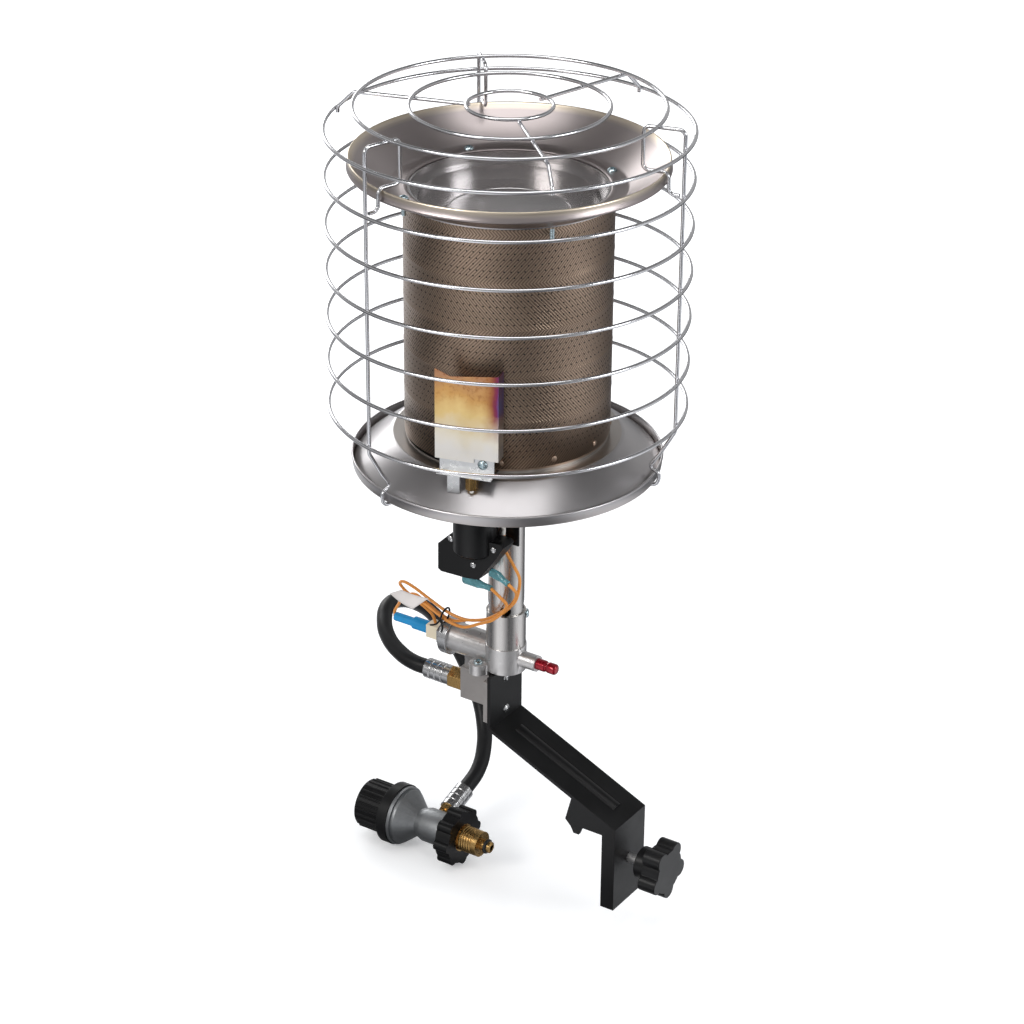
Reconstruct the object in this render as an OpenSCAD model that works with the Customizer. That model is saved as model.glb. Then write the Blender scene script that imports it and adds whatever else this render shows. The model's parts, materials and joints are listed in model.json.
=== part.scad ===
// Portable propane heater that hangs on the collar of a gas tank.
// The origin is the point where the bracket sits on the collar's rim. +Z is up, and the bracket's arm
// runs along X: the burner stands on the -X side and the clamp's star knob is on the +X side.

/* [Layout] */
// Distance from the collar's rim to the burner's axis
head_reach = 100; // [96:1:112]
// Height of the safety valve's axis above the collar's rim
valve_z = 124; // [122:1:136]
// Height of the gas inlet's axis above the collar's rim
inlet_z = 85; // [82:1:88]
// Height of the lower reflector's flat above the collar's rim
pan_z = 326; // [310:1:350]
// Height from the lower reflector's flat to the upper reflector's
burner_h = 204.5; // [170:0.5:240]
// Drop from the collar's rim to the regulator's axis
regulator_drop = 71; // [68:1:74]

/* [Guard] */
// Radius of the side rings, at the middle of the wire
guard_r = 140; // [136:1:150]
// Diameter of the guard's wire
guard_wire = 3; // [2.6:0.1:3.6]
// Number of side rings
ring_count = 7; // [5:1:9]
// Height of the lowest side ring above the lower reflector
low_ring_rise = 27.6; // [25:0.2:32]
// Height of the highest side ring above the upper reflector
top_ring_rise = 46.3; // [44:0.1:54]
// Height of the top rings above the highest side ring
grille_rise = 17.4; // [15:0.2:22]
// Radius of the outer top ring
grille_outer_r = 118; // [114:1:122]
// Radius of the middle top ring
grille_middle_r = 75.8; // [70:0.2:82]
// Radius of the inner top ring
grille_inner_r = 32.8; // [28:0.2:40]

/* [Reflectors] */
// Outer radius of the reflectors
rim_r = 122.5; // [120:0.5:126]
// Radius of the reflector's central hole
reflector_hole_r = 77.5; // [76.8:0.1:78.5]
// Outer radius of the reflector's flat part
flat_r = 92; // [91:0.5:94]
// Height of the reflector's cone
reflector_h = 25.1; // [22:0.1:30]
// Height of the reflector's turned edge
edge_h = 8; // [6:0.5:10]
// Radius of the bead on the turned edge
edge_bead_r = 1.2; // [1:0.1:1.6]
// Thickness of the pressed sheet
sheet = 1; // [0.8:0.05:1.2]

/* [Burner] */
// Outer radius of the burner's screen
screen_r = 81; // [80.5:0.5:82]
// Outer radius of the inner screen
inner_screen_r = 70; // [66:0.5:70.5]
// Depth of the burner cap's first step
cap_step_h = 9; // [7:0.5:11]
// Depth of the burner cap's floor below its flange
cap_h = 20; // [17:0.5:24]
// Height of the burner base's upright wall
base_wall_h = 14; // [12:0.5:16]
// Height of the lighting slot in the burner's foot
slot_h = 6; // [5:0.5:7]
// Distance between the seams of the screen
seam_pitch = 38; // [30:1:45]
// Outer diameter of the burner's tube
tube_d = 29.6; // [29:0.2:30.4]
// Wall of the burner's tube
tube_wall = 1.6; // [1.4:0.1:2]
// Diameter of the tube's air holes
air_hole_d = 9; // [7:0.5:10]

/* [Tip-over switch] */
// Outer radius of the switch's cup
cup_r = 17.5; // [16.5:0.5:18]
// Height of the cup's floor above the collar's rim
cup_z = 230; // [226:1:234]
// Radius of the swinging weight
weight_r = 6.5; // [5.5:0.5:7]
// Thickness of the switch's box
box_t = 16; // [14:0.5:16.5]

/* [Safety valve] */
// Outer radius of the valve's body
valve_r = 12.7; // [12.5:0.1:13.4]
// Outer radius of the button's barrel
barrel_r = 6.8; // [6.6:0.1:7.4]
// Radius of the safety button
button_r = 4.8; // [4.6:0.1:5]
// Travel of the safety button
button_travel = 6; // [4:0.5:6.5]
// Outer diameter of the sleeve that holds the burner's tube
sleeve_d = 32.6; // [32.2:0.2:34]
// Height of the sleeve
sleeve_h = 31; // [28:1:33]

/* [Hose and regulator] */
// Outer diameter of the hose
hose_d = 13.5; // [12.5:0.5:14]
// Outer radius of the hose's ferrules
ferrule_r = 8.6; // [8.2:0.1:9.4]
// Length of the hose's ferrules
ferrule_l = 25; // [22:1:27]
// Radius of the regulator's knob
knob_r = 21.5; // [20:0.5:23]
// Length of the regulator's knob
knob_l = 27; // [24:1:30]
// Outer radius of the regulator's bonnet
bonnet_r = 27; // [26:0.5:29]
// Outer radius of the connector's handwheel
wheel_r = 26; // [24:0.5:28]
// Outer radius of the connector's thread
thread_r = 11.2; // [10.8:0.1:11.6]

/* [Bracket and clamp] */
// Thickness of the bracket's sheet
plate = 3; // [2.6:0.1:3.4]
// Width of the bracket
bracket_w = 47; // [44:1:52]
// Length of the clamp's leg below the collar's rim
leg_h = 69; // [64:1:76]
// Drop of the clamp bolt's axis below the collar's rim
bolt_drop = 29; // [26:1:32]
// Diameter of the clamp bolt
bolt_d = 8; // [7:0.5:9]
// Outer radius of the star knob
star_r = 25; // [23:0.5:27]
// Thickness of the star knob's head
star_t = 16; // [14:0.5:18]

/* [Hidden] */

// Clearances and the overrun of every cut
cut = 1;
weld = 0.3;
running_gap = 0.08;
wire_gap = 0.2;
seat_gap = 0.3;

// Shares for rounding corners and for wall details
corner_share = 0.45;
half_share = 0.5;

// Facets: whole turns on lathed work, sides on swept wire
round_fn = 96;
small_fn = 32;
wire_sides = 8;
lead_sides = 8;
hose_sides = 12;
corner_steps = 3;

// Heights and radii of the guard
wire_r = guard_wire / 2;
upper_z = pan_z + burner_h;
top_ring_z = upper_z + top_ring_rise;
low_ring_z = pan_z + low_ring_rise;
ring_pitch = (top_ring_z - low_ring_z) / (ring_count - 1);
grille_z = top_ring_z + grille_rise;
crown_z = grille_z - guard_wire + weld;
upright_r = guard_r - guard_wire + weld;
upright_count = 3;
upright_turn = 14;
spoke_turn = 76.5;
spoke_overhang = 6;
spoke_tail = 3;
clip_in = 17.5;
clip_drop = 9;
clip_end_gap = 0.1;
hook_rise = 21;
hook_in = 4;
hook_curl = 5;
clip_bend_r = 5;
over_rim_z = upper_z + reflector_h + wire_r + wire_gap;
outside_rim_r = rim_r + edge_bead_r + wire_r + wire_gap;
pan_edge_z = pan_z - reflector_h + edge_h;
over_edge_z = pan_edge_z + edge_bead_r + wire_r + wire_gap;
under_pan_z = pan_z - reflector_h - wire_r - wire_gap;

// Screws and rivets
screw_r = 2;
screw_head_r = 4;
screw_head_h = 2.4;
screw_l = 13.5;
recess_r = 1.3;
recess_h = 1.2;
reflector_screw_r = 85;
reflector_screw_turn = 55.5;
reflector_screw_count = 4;
rivet_r = 1.5;
rivet_head_r = 2.4;
rivet_head_h = 0.9;
rivet_rise = 10;
rivet_step = 30;
rivet_count = 9;

// Burner
seam_r = 1.4;
foot_gap = 4;
slot_z = pan_z + 2 * sheet;
slot_from = -150;
slot_sweep = 65;
screen_z = pan_z + sheet + foot_gap;
screen_top = upper_z - 2 * sheet;
cap_wall_r = reflector_hole_r - sheet;
cap_floor_r = inner_screen_r + sheet;
cap_bead_r = 1.1;
cap_bead_ring_r = 48;
base_edge_gap = 2;
base_r = flat_r - base_edge_gap;
tube_r = tube_d / 2;
air_hole_turns = [-58, 32, 122, 212];
tube_rise = 18;
base_hole_r = tube_r;

// Flame sensing: a plane that stands upright beside the screen, at shield_turn round the burner
shield_turn = -75;
shield_r = 96;
shield_w = 51;
shield_h = 74;
shield_rise = 16;
shield_z = pan_z + shield_rise;
shield_t = 0.8;
shield_wall = 11;
shield_peak = 5;
bracket_w2 = 44;
foot_in = 9;
ledge_rise = 6;
ledge_z = pan_z + ledge_rise;
ledge_out = 8;
tab_w = 10;
tab_side = 13;
tab_drop = 14;
notch_from = 6;
notch_h = 3.5;
probe_r = 2;
probe_rise = 34;
probe_in = 6;
probe_side = 5.5;
probe_z = pan_z + probe_rise;
nut_out = 4;
nut_r = 5;
nut_h = 10;
lead_hole_r = 5;

// Tip-over switch
cup_offset = 7;
cup_x = -head_reach - cup_offset;
cup_y = -35;
cup_wall = 1.5;
cup_h = 42;
cup_floor_edge = 4;
box_y = -40;
cover_t = 3;
// Corners of the box and places of its screws, from the middle of the cup's floor, as shares of cup_r
BOX_CORNER_SHARES = [
    [-1.851, -1.229], [-1.68, -1.337], [-0.514, -1.291], [0.371, -1.183], [0.863, -0.514], [1.406, 0.257],
    [1.726, 0.811], [1.566, 0.966], [-0.897, 0.754], [-1.177, 0.726], [-1.846, 0.063]
];
SCREW_SHARES = [[-1.137, 0.5], [0.097, -0.491], [1.189, 0.6]];
pivot_r = 1.2;
pivot_drop = 9;
eye_wall = 2.65;
lid_lip = 2;
weight_arm = 20;
bracket_t = 1.5;
saddle_offset = 16.6;
saddle_x = cup_x + saddle_offset;
saddle_w = 12.7;
saddle_h = 90;
switch_top_z = cup_z + cup_h;
switch_screw_r = 1.8;
switch_head_r = 2.8;
switch_head_h = 1.6;

// Safety valve: its axis runs along X at valve_z
seat_offset = 22;
seat_x = -head_reach - seat_offset;
body_reach = 50;
body_left_x = -head_reach - body_reach;
end_cap_t = 8;
cap_left_x = body_left_x - end_cap_t;
end_cap_r = 16;
magnet_r = 7.6;
magnet_nut_r = 11;
magnet_nut_t = 5;
chamber_r = 8.2;
block_side = 12;
block_l = 13;
terminal_r = 5.4;
terminal_l = 35;
terminal_head_share = 0.45;
terminal_tail_share = 0.7;
boss_r = 17;
boss_drop = 12;
boss_top = 10.7;
barrel_reach = 31.5;
barrel_end_x = -head_reach + barrel_reach;
spring_seat_offset = 14;
spring_seat_x = -head_reach + spring_seat_offset;
button_in = 4;
button_out = 18.5;
neck_r = 3.4;
neck_w = 3;
button_tip_r = 4.6;
button_tip_l = 8;
stem_r = 1.5;
stem_gap = 0.7;
armature_r = 5.5;
armature_t = 2;
armature_gap = 9;
armature_left_x = seat_x - armature_gap;
disc_r = 6.2;
disc_t = 3;
disc_gap = 0.15;
spring_wire_r = 0.4;
spring_mean_r = 3.4;
spring_turns = 5;
spring_steps = 8;
spring_sides = 6;
gas_way_r = 2.4;
way_offset = 28;
way_x = -head_reach - way_offset;
jet_hex_r = 5.2;
jet_hex_h = 9;
jet_tip_h = 21;
jet_tip_r = 2.4;
jet_stem_r = 3.6;
jet_bore_r = 0.8;
sleeve_floor = 2.5;
sleeve_screw_turn = 33.5;
sleeve_screw_l = 6;
lug_in = 6;
lug_x = seat_x + lug_in;
lug_y = -16.8;
lug_r = 7.5;
lug_h = 9;
lug_drop = 6;
lug_top_z = valve_z - lug_drop;
lug_screw_r = 4.2;
lug_screw_h = 3;
neck_block_w = 20;
neck_block_l = 24;
neck_block_reach = 34;
neck_block_x = -head_reach - neck_block_reach;

// Inlet block, with the strip that the bracket's tab is screwed to
inlet_reach = 37;
block_left_x = -head_reach - inlet_reach;
tab_offset = 0.6;
tab_face_x = -head_reach + tab_offset;
tab_back_x = tab_face_x - plate;
strip_t = 4;
strip_back_x = tab_back_x - strip_t;
inlet_w = 24;
inlet_down = 9;
inlet_up = 20;
strip_down = 17;
strip_up = 21;
tab_up = 26;
strip_low_z = inlet_z - strip_down;
strip_top_z = inlet_z + strip_up;
tab_top_z = inlet_z + tab_up;
tab_screw_spread = 30;
tab_screw_rise = 2;
tab_screw_mid_z = inlet_z + tab_screw_rise;
inlet_bore_r = 4.8;
fitting_hex_r = 10;
fitting_hex_l = 13;
fitting_neck_l = 3;
fitting_stub_l = 8;
tail_r = 3.6;
tail_bore_r = 2.2;
groove_r = 1;
groove_gap = 6;
groove_count = 3;

// Hose route, from the inlet's ferrule to the regulator's ferrule
HOSE_ROUTE = [
    [-178, 0, 85], [-193, 0, 85.5], [-209, 4, 87], [-229, 14, 91], [-245, 30, 96], [-254, 48, 99],
    [-256, 68, 95], [-251, 88, 84], [-243, 104, 66], [-232, 114, 42], [-219, 117, 18], [-205, 114, -6],
    [-192, 104, -25], [-181, 88, -39], [-174, 68.6, -49.4], [-172, 44.8, -56.9]
];
hose_start = HOSE_ROUTE[0];
hose_end = HOSE_ROUTE[len(HOSE_ROUTE) - 1];

// Lead routes
LEAD_A_ROUTE = [
    [-68.8, -95.2, 321.7], [-68.8, -94.4, 306], [-72, -78, 288], [-84, -48, 270], [-88.5, -23, 254], [-88, -21, 234],
    [-80, -20, 220], [-74, -20, 209], [-76, -21, 192], [-83, -21, 181], [-93, -21, 171], [-105, -21, 163],
    [-122, -22, 158], [-137, -22, 153], [-150, -22, 155], [-164, -22, 161], [-178, -18, 163],
    [-190, -14.5, 156], [-199, -9, 147], [-205, -4, 139], [-211, -1, 130], [-212, 0, 124]
];
LEAD_B_ROUTE = [
    [-73, -38, 213], [-70, -35, 208], [-71, -29, 201], [-75, -26, 192], [-82, -26, 183],
    [-92, -26, 174], [-104, -26, 166], [-121, -27, 161], [-138, -28, 163], [-155, -28, 169],
    [-172, -26, 174], [-186, -22, 174], [-194, -17, 168], [-193, -12, 160], [-186, -8, 152],
    [-179, -4, 145], [-173, -1, 138], [-170, 0, 130]
];
LEAD_C_ROUTE = [
    [-88, -40, 205.6], [-81, -37, 198], [-79, -31, 189], [-84, -31, 180], [-93, -31, 171],
    [-105, -31, 164], [-121, -31, 156], [-137, -31, 157], [-152, -31, 163], [-166, -30, 168]
];
// Distance from the collar's rim to the burner's axis at which the leads' routes are given
route_reach = 100;
function moved(route) = [for (p = route) p + [route_reach - head_reach, 0, 0]];
LEAD_A = moved(LEAD_A_ROUTE);
LEAD_B = moved(LEAD_B_ROUTE);
LEAD_C = moved(LEAD_C_ROUTE);
lead_r = 1.3;
spade_r = 3.2;
// Middle lines of the terminals' sleeves, from the middle of the cup's floor, as shares of cup_r
SPADE_SHARES = [
    [[-0.571, -0.057, -1.486], [0.286, -0.114, -1.463], [1.086, -0.286, -1.394]],
    [[0.886, 0, -0.743], [1.371, -0.057, -0.8], [1.943, -0.171, -0.971]]
];

// Paper tag and tie
tag_t = 0.6;
tag_w = 27;
tag_front = 3;
// Corners of the tag, from a point of the switch's lead, as shares of tag_w
TAG_SHARES = [[-1, -0.074], [-0.556, 0.185], [0.444, 0.185], [-0.148, -0.37]];
tag_at = LEAD_C[len(LEAD_C) - 1];
tie_r = 7;
tie_back = 3;
tie_drop = 4;
tie_turn = 80;
tie_at = LEAD_B[8] - [tie_back, 0, tie_drop];
tie_wire_r = 0.8;

// Regulator: its axis runs along X at -regulator_drop
port_x = hose_end[0];
port_tilt = 17.5;
port_r = 6.5;
port_wall = 2;
tail_step = 1;
chamber_wall = 4;
tail_hex_r = 7.8;
tail_hex_l = 5;
port_out = norm([hose_end[1], hose_end[2] + regulator_drop]);
knob_left_x = -243;
bonnet_left_x = knob_left_x + knob_l;
bonnet_t = 10;
clamp_ring_t = 3;
clamp_ring_step = 1;
case_step = 3;
diaphragm_step = 4;
clamp_ring_r = bonnet_r - clamp_ring_step;
case_t = 6;
case_r = bonnet_r - case_step;
bonnet_right_x = bonnet_left_x + bonnet_t;
case_left_x = bonnet_right_x + clamp_ring_t;
case_right_x = case_left_x + case_t;
waist_r = 12.5;
waist_l = 11;
waist_x = case_right_x + waist_l;
hub_r = 15;
hub_left_l = 10;
hub_right_l = 11;
hub_left_x = port_x - hub_left_l;
hub_right_x = port_x + hub_right_l;
diaphragm_t = 1;
diaphragm_r = bonnet_r - diaphragm_step;
chamber_l = 7;
reg_spring_r = 7;
reg_spring_wire = 1.1;
reg_spring_turns = 5;
reg_spring_l = 18;
knob_rib_count = 24;
knob_rib_r = 1.1;
knob_rib_inset = 1.5;
wheel_gap = 5;
wheel_left_x = hub_right_x + wheel_gap;
wheel_t = 14;
wheel_lobes = 8;
lobe_r = 5;
lobe_out_share = 0.6;
nut_inset = 2;
connector_l = 33;
nose_l = 10;
nut_left_x = wheel_left_x + nut_inset;
thread_end_x = wheel_left_x + connector_l;
thread_groove_h = 0.7;
thread_pitch = 2.5;
thread_land = 4;
shoulder_step = 1.2;
relief_step = 1;
relief_l = 1.5;
nose_r = 5;
nose_end_x = thread_end_x + nose_l;
nut_bore_r = nose_r + running_gap;
collar_r = 8;
nose_in = 6;
seal_r = 1.5;

// Bracket
leg_face_x = 23.2;
arm_run = leg_face_x - tab_face_x;
arm_drop = 54.5;
arm_high_z = 63.4;
arm_low_z = arm_high_z - arm_drop;
leg_back_x = leg_face_x - plate;
flange_depth = 12.5;
flange_edge_x = leg_face_x - flange_depth;
arm_angle = atan2(arm_drop, arm_run);
arm_l = norm([arm_run, arm_drop]);
arm_under = plate / cos(arm_angle) - plate * arm_drop / arm_run;
rib_w = 14;
rib_rise = 2.6;
rib_in = 14;
hook_x = -14;
hook_z = -2;
hook_r = 2.6;
hook_mouth = 4.6;
cheek_l = 10;
cheek_left_x = hook_x + hook_mouth;
cheek_top_x = cheek_left_x - cheek_l;
hook_lobe_r = 5.5;

// Clamp
bolt_r = bolt_d / 2;
insert_r = 8;
insert_l = 6.5;
foot_x = 8;
foot_t = 3;
foot_r = 7.5;
star_hub_r = 13.5;
star_gap = 11.8;
star_hub_x = leg_face_x + star_gap;
star_hub_l = 11;
star_x = star_hub_x + star_hub_l;
star_lobes = 5;
star_lobe_r = 7.5;
star_waist_r = 19;
bolt_in_star = 12;

function unit(v) = v / norm(v);

function lead_in(path, i) =
    i == 0 ? path[1] - path[0] :
    i == len(path) - 1 ? path[i] - path[i - 1] :
    unit(path[i + 1] - path[i]) + unit(path[i] - path[i - 1]);

function tangents(path) = [for (i = [0:len(path) - 1]) unit(lead_in(path, i))];

// The side direction is carried along the path without twisting
function sides_along(t, n, i = 0) =
    i == len(t) ? [] :
    let (m = unit(n - (n * t[i]) * t[i])) concat([m], sides_along(t, m, i + 1));

function across(t) = abs(t[2]) > abs(t[0]) ? [1, 0, 0] : [0, 0, 1];

function bend_at(a, b, c, radius, steps) =
    let (reach = min(radius, norm(a - b) * corner_share, norm(c - b) * corner_share),
         from = b + unit(a - b) * reach,
         to = b + unit(c - b) * reach)
    [for (k = [0:steps]) let (s = k / steps) (1 - s) * (1 - s) * from + 2 * s * (1 - s) * b + s * s * to];

// A path of straight runs with its corners bent round
function bent(p, radius, steps) = [
    p[0],
    for (i = [1:len(p) - 2]) each bend_at(p[i - 1], p[i], p[i + 1], radius, steps),
    p[len(p) - 1]
];

module sweep(path, r, sides) {
    t = tangents(path);
    n = sides_along(t, across(t[0]));
    last = len(path) - 1;
    points = [
        for (i = [0:last], k = [0:sides - 1])
            path[i] + r * (cos(360 * k / sides) * n[i] + sin(360 * k / sides) * cross(t[i], n[i]))
    ];
    walls = [
        for (i = [0:last - 1], k = [0:sides - 1])
            let (a = i * sides + k, b = i * sides + (k + 1) % sides)
            each [[a, a + sides, b], [b, a + sides, b + sides]]
    ];
    near_cap = [for (k = [1:sides - 2]) [0, k, k + 1]];
    far_cap = [for (k = [1:sides - 2]) [last * sides, last * sides + k + 1, last * sides + k]];
    polyhedron(points, concat(walls, near_cap, far_cap));
}

// Points of the upright plane at a turn round the burner, from [radius, height] pairs
function upright_plane(pairs, turn) =
    [for (p = pairs) [-head_reach + p[0] * cos(turn), p[0] * sin(turn), p[1]]];

module at_burner(z = 0) translate([-head_reach, 0, z]) children();
module lathe_burner(z = 0) at_burner(z) rotate_extrude($fn = round_fn) children();
module along_x(x, y = 0, z = 0) translate([x, y, z]) rotate([0, 90, 0]) children();
module rod_x(x, l, r, z, y = 0, fn = small_fn) along_x(x, y, z) cylinder(r = r, h = l, $fn = fn);
module lathe_x(x, z) along_x(x, 0, z) rotate_extrude($fn = round_fn) children();
module ring(r, z, wire) lathe_burner(z) translate([r, 0]) circle(d = wire, $fn = small_fn);
module on_shield(r, w, z) rotate([0, 0, shield_turn]) translate([r, w, z]) children();

module pan_head_screw(head_r, head_h, shank_r, shank_l) {
    difference() {
        cylinder(r = head_r, h = head_h, $fn = small_fn);
        translate([0, 0, head_h - recess_h]) cylinder(r = recess_r, h = recess_h + cut, $fn = 4);
    }
    translate([0, 0, -shank_l]) cylinder(r = shank_r, h = shank_l, $fn = small_fn);
}

// Guard

module guard_rings() color("silver")
    for (i = [0:ring_count - 1]) ring(guard_r, top_ring_z - i * ring_pitch, guard_wire);

module grille_rings() color("silver")
    for (r = [grille_outer_r, grille_middle_r, grille_inner_r]) ring(r, grille_z, guard_wire);

module guard_spokes() color("silver")
    for (k = [0:upright_count - 1]) sweep(bent(upright_plane([
        [grille_inner_r - wire_r, crown_z],
        [grille_outer_r + spoke_overhang, crown_z],
        [upright_r, top_ring_z + spoke_tail / 2],
        [upright_r, top_ring_z - spoke_tail]
    ], spoke_turn + 360 * k / upright_count), clip_bend_r, corner_steps), wire_r, wire_sides);

module guard_uprights() color("silver")
    for (k = [0:upright_count - 1]) sweep(bent(upright_plane([
        [rim_r - hook_curl, under_pan_z],
        [outside_rim_r - wire_r, under_pan_z],
        [outside_rim_r, pan_edge_z - edge_h / 2],
        [outside_rim_r, over_edge_z - wire_r],
        [rim_r - hook_in, over_edge_z + wire_r],
        [rim_r - hook_in, over_edge_z + guard_wire + wire_r],
        [outside_rim_r + wire_gap, pan_z + wire_gap],
        [upright_r, pan_z + hook_rise],
        [upright_r, crown_z],
        [rim_r - clip_in, crown_z],
        [rim_r - clip_in, over_rim_z],
        [outside_rim_r - wire_gap, over_rim_z],
        [outside_rim_r, over_rim_z - edge_h],
        [outside_rim_r + wire_gap, over_rim_z - edge_h - clip_drop],
        [upright_r - guard_wire - clip_end_gap, over_rim_z - edge_h - clip_drop]
    ], upright_turn + 360 * k / upright_count), clip_bend_r, corner_steps), wire_r, wire_sides);

// Burner head

module reflector_profile() {
    polygon([
        [reflector_hole_r, 0], [flat_r, 0], [rim_r - sheet, reflector_h - sheet],
        [rim_r - sheet, reflector_h - edge_h], [rim_r, reflector_h - edge_h], [rim_r, reflector_h],
        [rim_r - sheet, reflector_h], [flat_r - sheet * half_share, sheet], [reflector_hole_r, sheet]
    ]);
    translate([rim_r - sheet / 2, reflector_h - edge_h]) circle(r = edge_bead_r, $fn = small_fn);
}

module at_reflector_screws(z) at_burner(z)
    for (k = [0:reflector_screw_count - 1])
        rotate([0, 0, reflector_screw_turn + 360 * k / reflector_screw_count])
            translate([reflector_screw_r, 0, 0]) children();

module screw_holes() at_reflector_screws(upper_z - 2 * sheet - cut)
    cylinder(r = screw_r, h = 3 * sheet + 2 * cut, $fn = small_fn);

module upper_reflector() color("gainsboro") difference() {
    lathe_burner(upper_z) reflector_profile();
    screw_holes();
}

module lower_reflector() color("gainsboro") difference() {
    at_burner(pan_z) mirror([0, 0, 1]) rotate_extrude($fn = round_fn) reflector_profile();
    at_burner(pan_z - reflector_h) on_shield(shield_r + nut_out, probe_side, 0)
        cylinder(r = lead_hole_r, h = reflector_h + cut, $fn = small_fn);
}

module burner_cap() color("burlywood") difference() {
    lathe_burner(upper_z) {
        polygon([
            [base_r, 0], [cap_wall_r - sheet, 0], [cap_wall_r - sheet, -cap_step_h],
            [cap_floor_r - sheet, -cap_step_h], [cap_floor_r - sheet, -cap_h], [0, -cap_h],
            [0, -cap_h - sheet], [cap_floor_r, -cap_h - sheet], [cap_floor_r, -cap_step_h - sheet],
            [cap_wall_r, -cap_step_h - sheet], [cap_wall_r, -sheet], [base_r, -sheet]
        ]);
        intersection() {
            translate([cap_bead_ring_r, -cap_h - sheet / 2]) circle(r = cap_bead_r, $fn = small_fn);
            translate([0, -cap_h - sheet]) square([base_r, cap_h]);
        }
    }
    screw_holes();
}

module at_rivets(r) at_burner(pan_z + rivet_rise)
    for (k = [1:rivet_count]) rotate([0, 0, slot_from + slot_sweep + k * rivet_step - 5])
        translate([r, 0, 0]) rotate([0, 90, 0]) children();

module rivet_holes() at_rivets(screen_r - 2 * sheet - cut)
    cylinder(r = rivet_r, h = 2 * sheet + 2 * cut, $fn = small_fn);

module lighting_slot() at_burner(slot_z) rotate([0, 0, slot_from])
    rotate_extrude(angle = slot_sweep, $fn = round_fn)
        translate([screen_r - 2 * sheet - cut, 0]) square([2 * sheet + 2 * cut, slot_h]);

module burner_screen() color("rosybrown") difference() {
    lathe_burner() {
        translate([screen_r - sheet, screen_z]) square([sheet, screen_top - screen_z]);
        translate([screen_r - sheet, screen_top]) square([base_r - screen_r + sheet, sheet]);
        intersection() {
            for (z = [screen_z + seam_pitch : seam_pitch : screen_top - seam_pitch / 2])
                translate([screen_r, z]) circle(r = seam_r, $fn = small_fn);
            translate([screen_r - sheet / 2, screen_z]) square([base_r, burner_h]);
        }
    }
    screw_holes();
    rivet_holes();
    lighting_slot();
}

module inner_screen() color("dimgray") lathe_burner()
    translate([inner_screen_r - sheet, pan_z + sheet])
        square([sheet, upper_z - cap_h - pan_z - 2 * sheet]);

module burner_base() color("tan") difference() {
    lathe_burner(pan_z) {
        translate([base_hole_r, 0]) square([base_r - base_hole_r, sheet]);
        translate([screen_r - 2 * sheet, 0]) square([sheet, base_wall_h]);
        translate([base_hole_r, 0]) square([sheet, base_wall_h / 2]);
    }
    rivet_holes();
    lighting_slot();
}

module base_rivets() color("lightgray") at_rivets(screen_r - 2 * sheet) {
    cylinder(r = rivet_r, h = 2 * sheet, $fn = small_fn);
    translate([0, 0, 2 * sheet]) cylinder(r = rivet_head_r, h = rivet_head_h, $fn = small_fn);
}

module reflector_screws() color("lightsteelblue") at_reflector_screws(upper_z + sheet)
    pan_head_screw(screw_head_r, screw_head_h, screw_r, screw_l);

module burner_tube() color("lightgray") difference() {
    at_burner(valve_z + boss_top + sleeve_floor) {
        cylinder(r = tube_r, h = pan_z + tube_rise - valve_z - boss_top - sleeve_floor, $fn = round_fn);
    }
    at_burner(valve_z + boss_top) cylinder(r = tube_r - tube_wall, h = pan_z, $fn = round_fn);
    at_burner(valve_z + boss_top + sleeve_h + air_hole_d / 2) for (turn = air_hole_turns)
        rotate([0, 0, turn]) rotate([0, 90, 0]) cylinder(d = air_hole_d, h = tube_d, $fn = small_fn);
}

// Flame sensing

module heat_shield() color("slategray") at_burner() rotate([0, 0, shield_turn]) {
    translate([shield_r, 0, shield_z]) rotate([90, 0, 90]) linear_extrude(shield_t) polygon([
        [-shield_w / 2, 0], [notch_from, 0], [notch_from, notch_h], [shield_w / 2, notch_h],
        [shield_w / 2, shield_h], [-shield_w / 4, shield_h - shield_peak], [-shield_w / 2, shield_h]
    ]);
    translate([shield_r - shield_wall, shield_w / 2 - shield_t, shield_z + notch_h])
        cube([shield_wall, shield_t, shield_h - notch_h]);
}

module at_shield_screw() at_burner()
    on_shield(shield_r, shield_w / 4, shield_z + notch_h - screw_head_r - seat_gap)
    rotate([0, 90, 0]) children();

module shield_bracket() color("silver") difference() {
    at_burner() rotate([0, 0, shield_turn]) {
        translate([shield_r - shield_t, -bracket_w2 / 2, ledge_z])
            cube([shield_t, bracket_w2, shield_z - ledge_z + 2 * screw_head_r]);
        translate([flat_r - foot_in, -bracket_w2 / 2, pan_z + sheet])
            cube([shield_t, bracket_w2 / 3, ledge_rise]);
        translate([flat_r - foot_in, -bracket_w2 / 2, ledge_z])
            cube([shield_r + ledge_out - flat_r + foot_in, bracket_w2, shield_t]);
        translate([shield_r + ledge_out - shield_t, -tab_side, ledge_z - tab_drop])
            cube([shield_t, tab_w, tab_drop + shield_t]);
    }
    at_shield_screw() translate([0, 0, -shield_t - cut])
        cylinder(r = screw_r, h = shield_t + 2 * cut, $fn = small_fn);
    at_probe(pan_z) cylinder(r = probe_r, h = shield_z, $fn = small_fn);
}

module at_probe(z) at_burner() on_shield(shield_r - probe_in, probe_side, z) children();

module at_nut(z) at_burner() on_shield(shield_r + nut_out, probe_side, z) children();

elbow_z = ledge_z - probe_r - seat_gap;

module thermocouple() color("goldenrod") {
    at_nut(ledge_z - nut_h) cylinder(r = nut_r, h = nut_h, $fn = 6);
    at_nut(elbow_z) rotate([0, -90, 0]) cylinder(r = probe_r, h = nut_out + probe_in, $fn = small_fn);
    at_probe(elbow_z) sphere(r = probe_r, $fn = small_fn);
    at_probe(elbow_z) cylinder(r = probe_r, h = probe_z - elbow_z, $fn = small_fn);
    at_probe(probe_z) sphere(r = probe_r, $fn = small_fn);
}

// Tip-over switch

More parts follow.
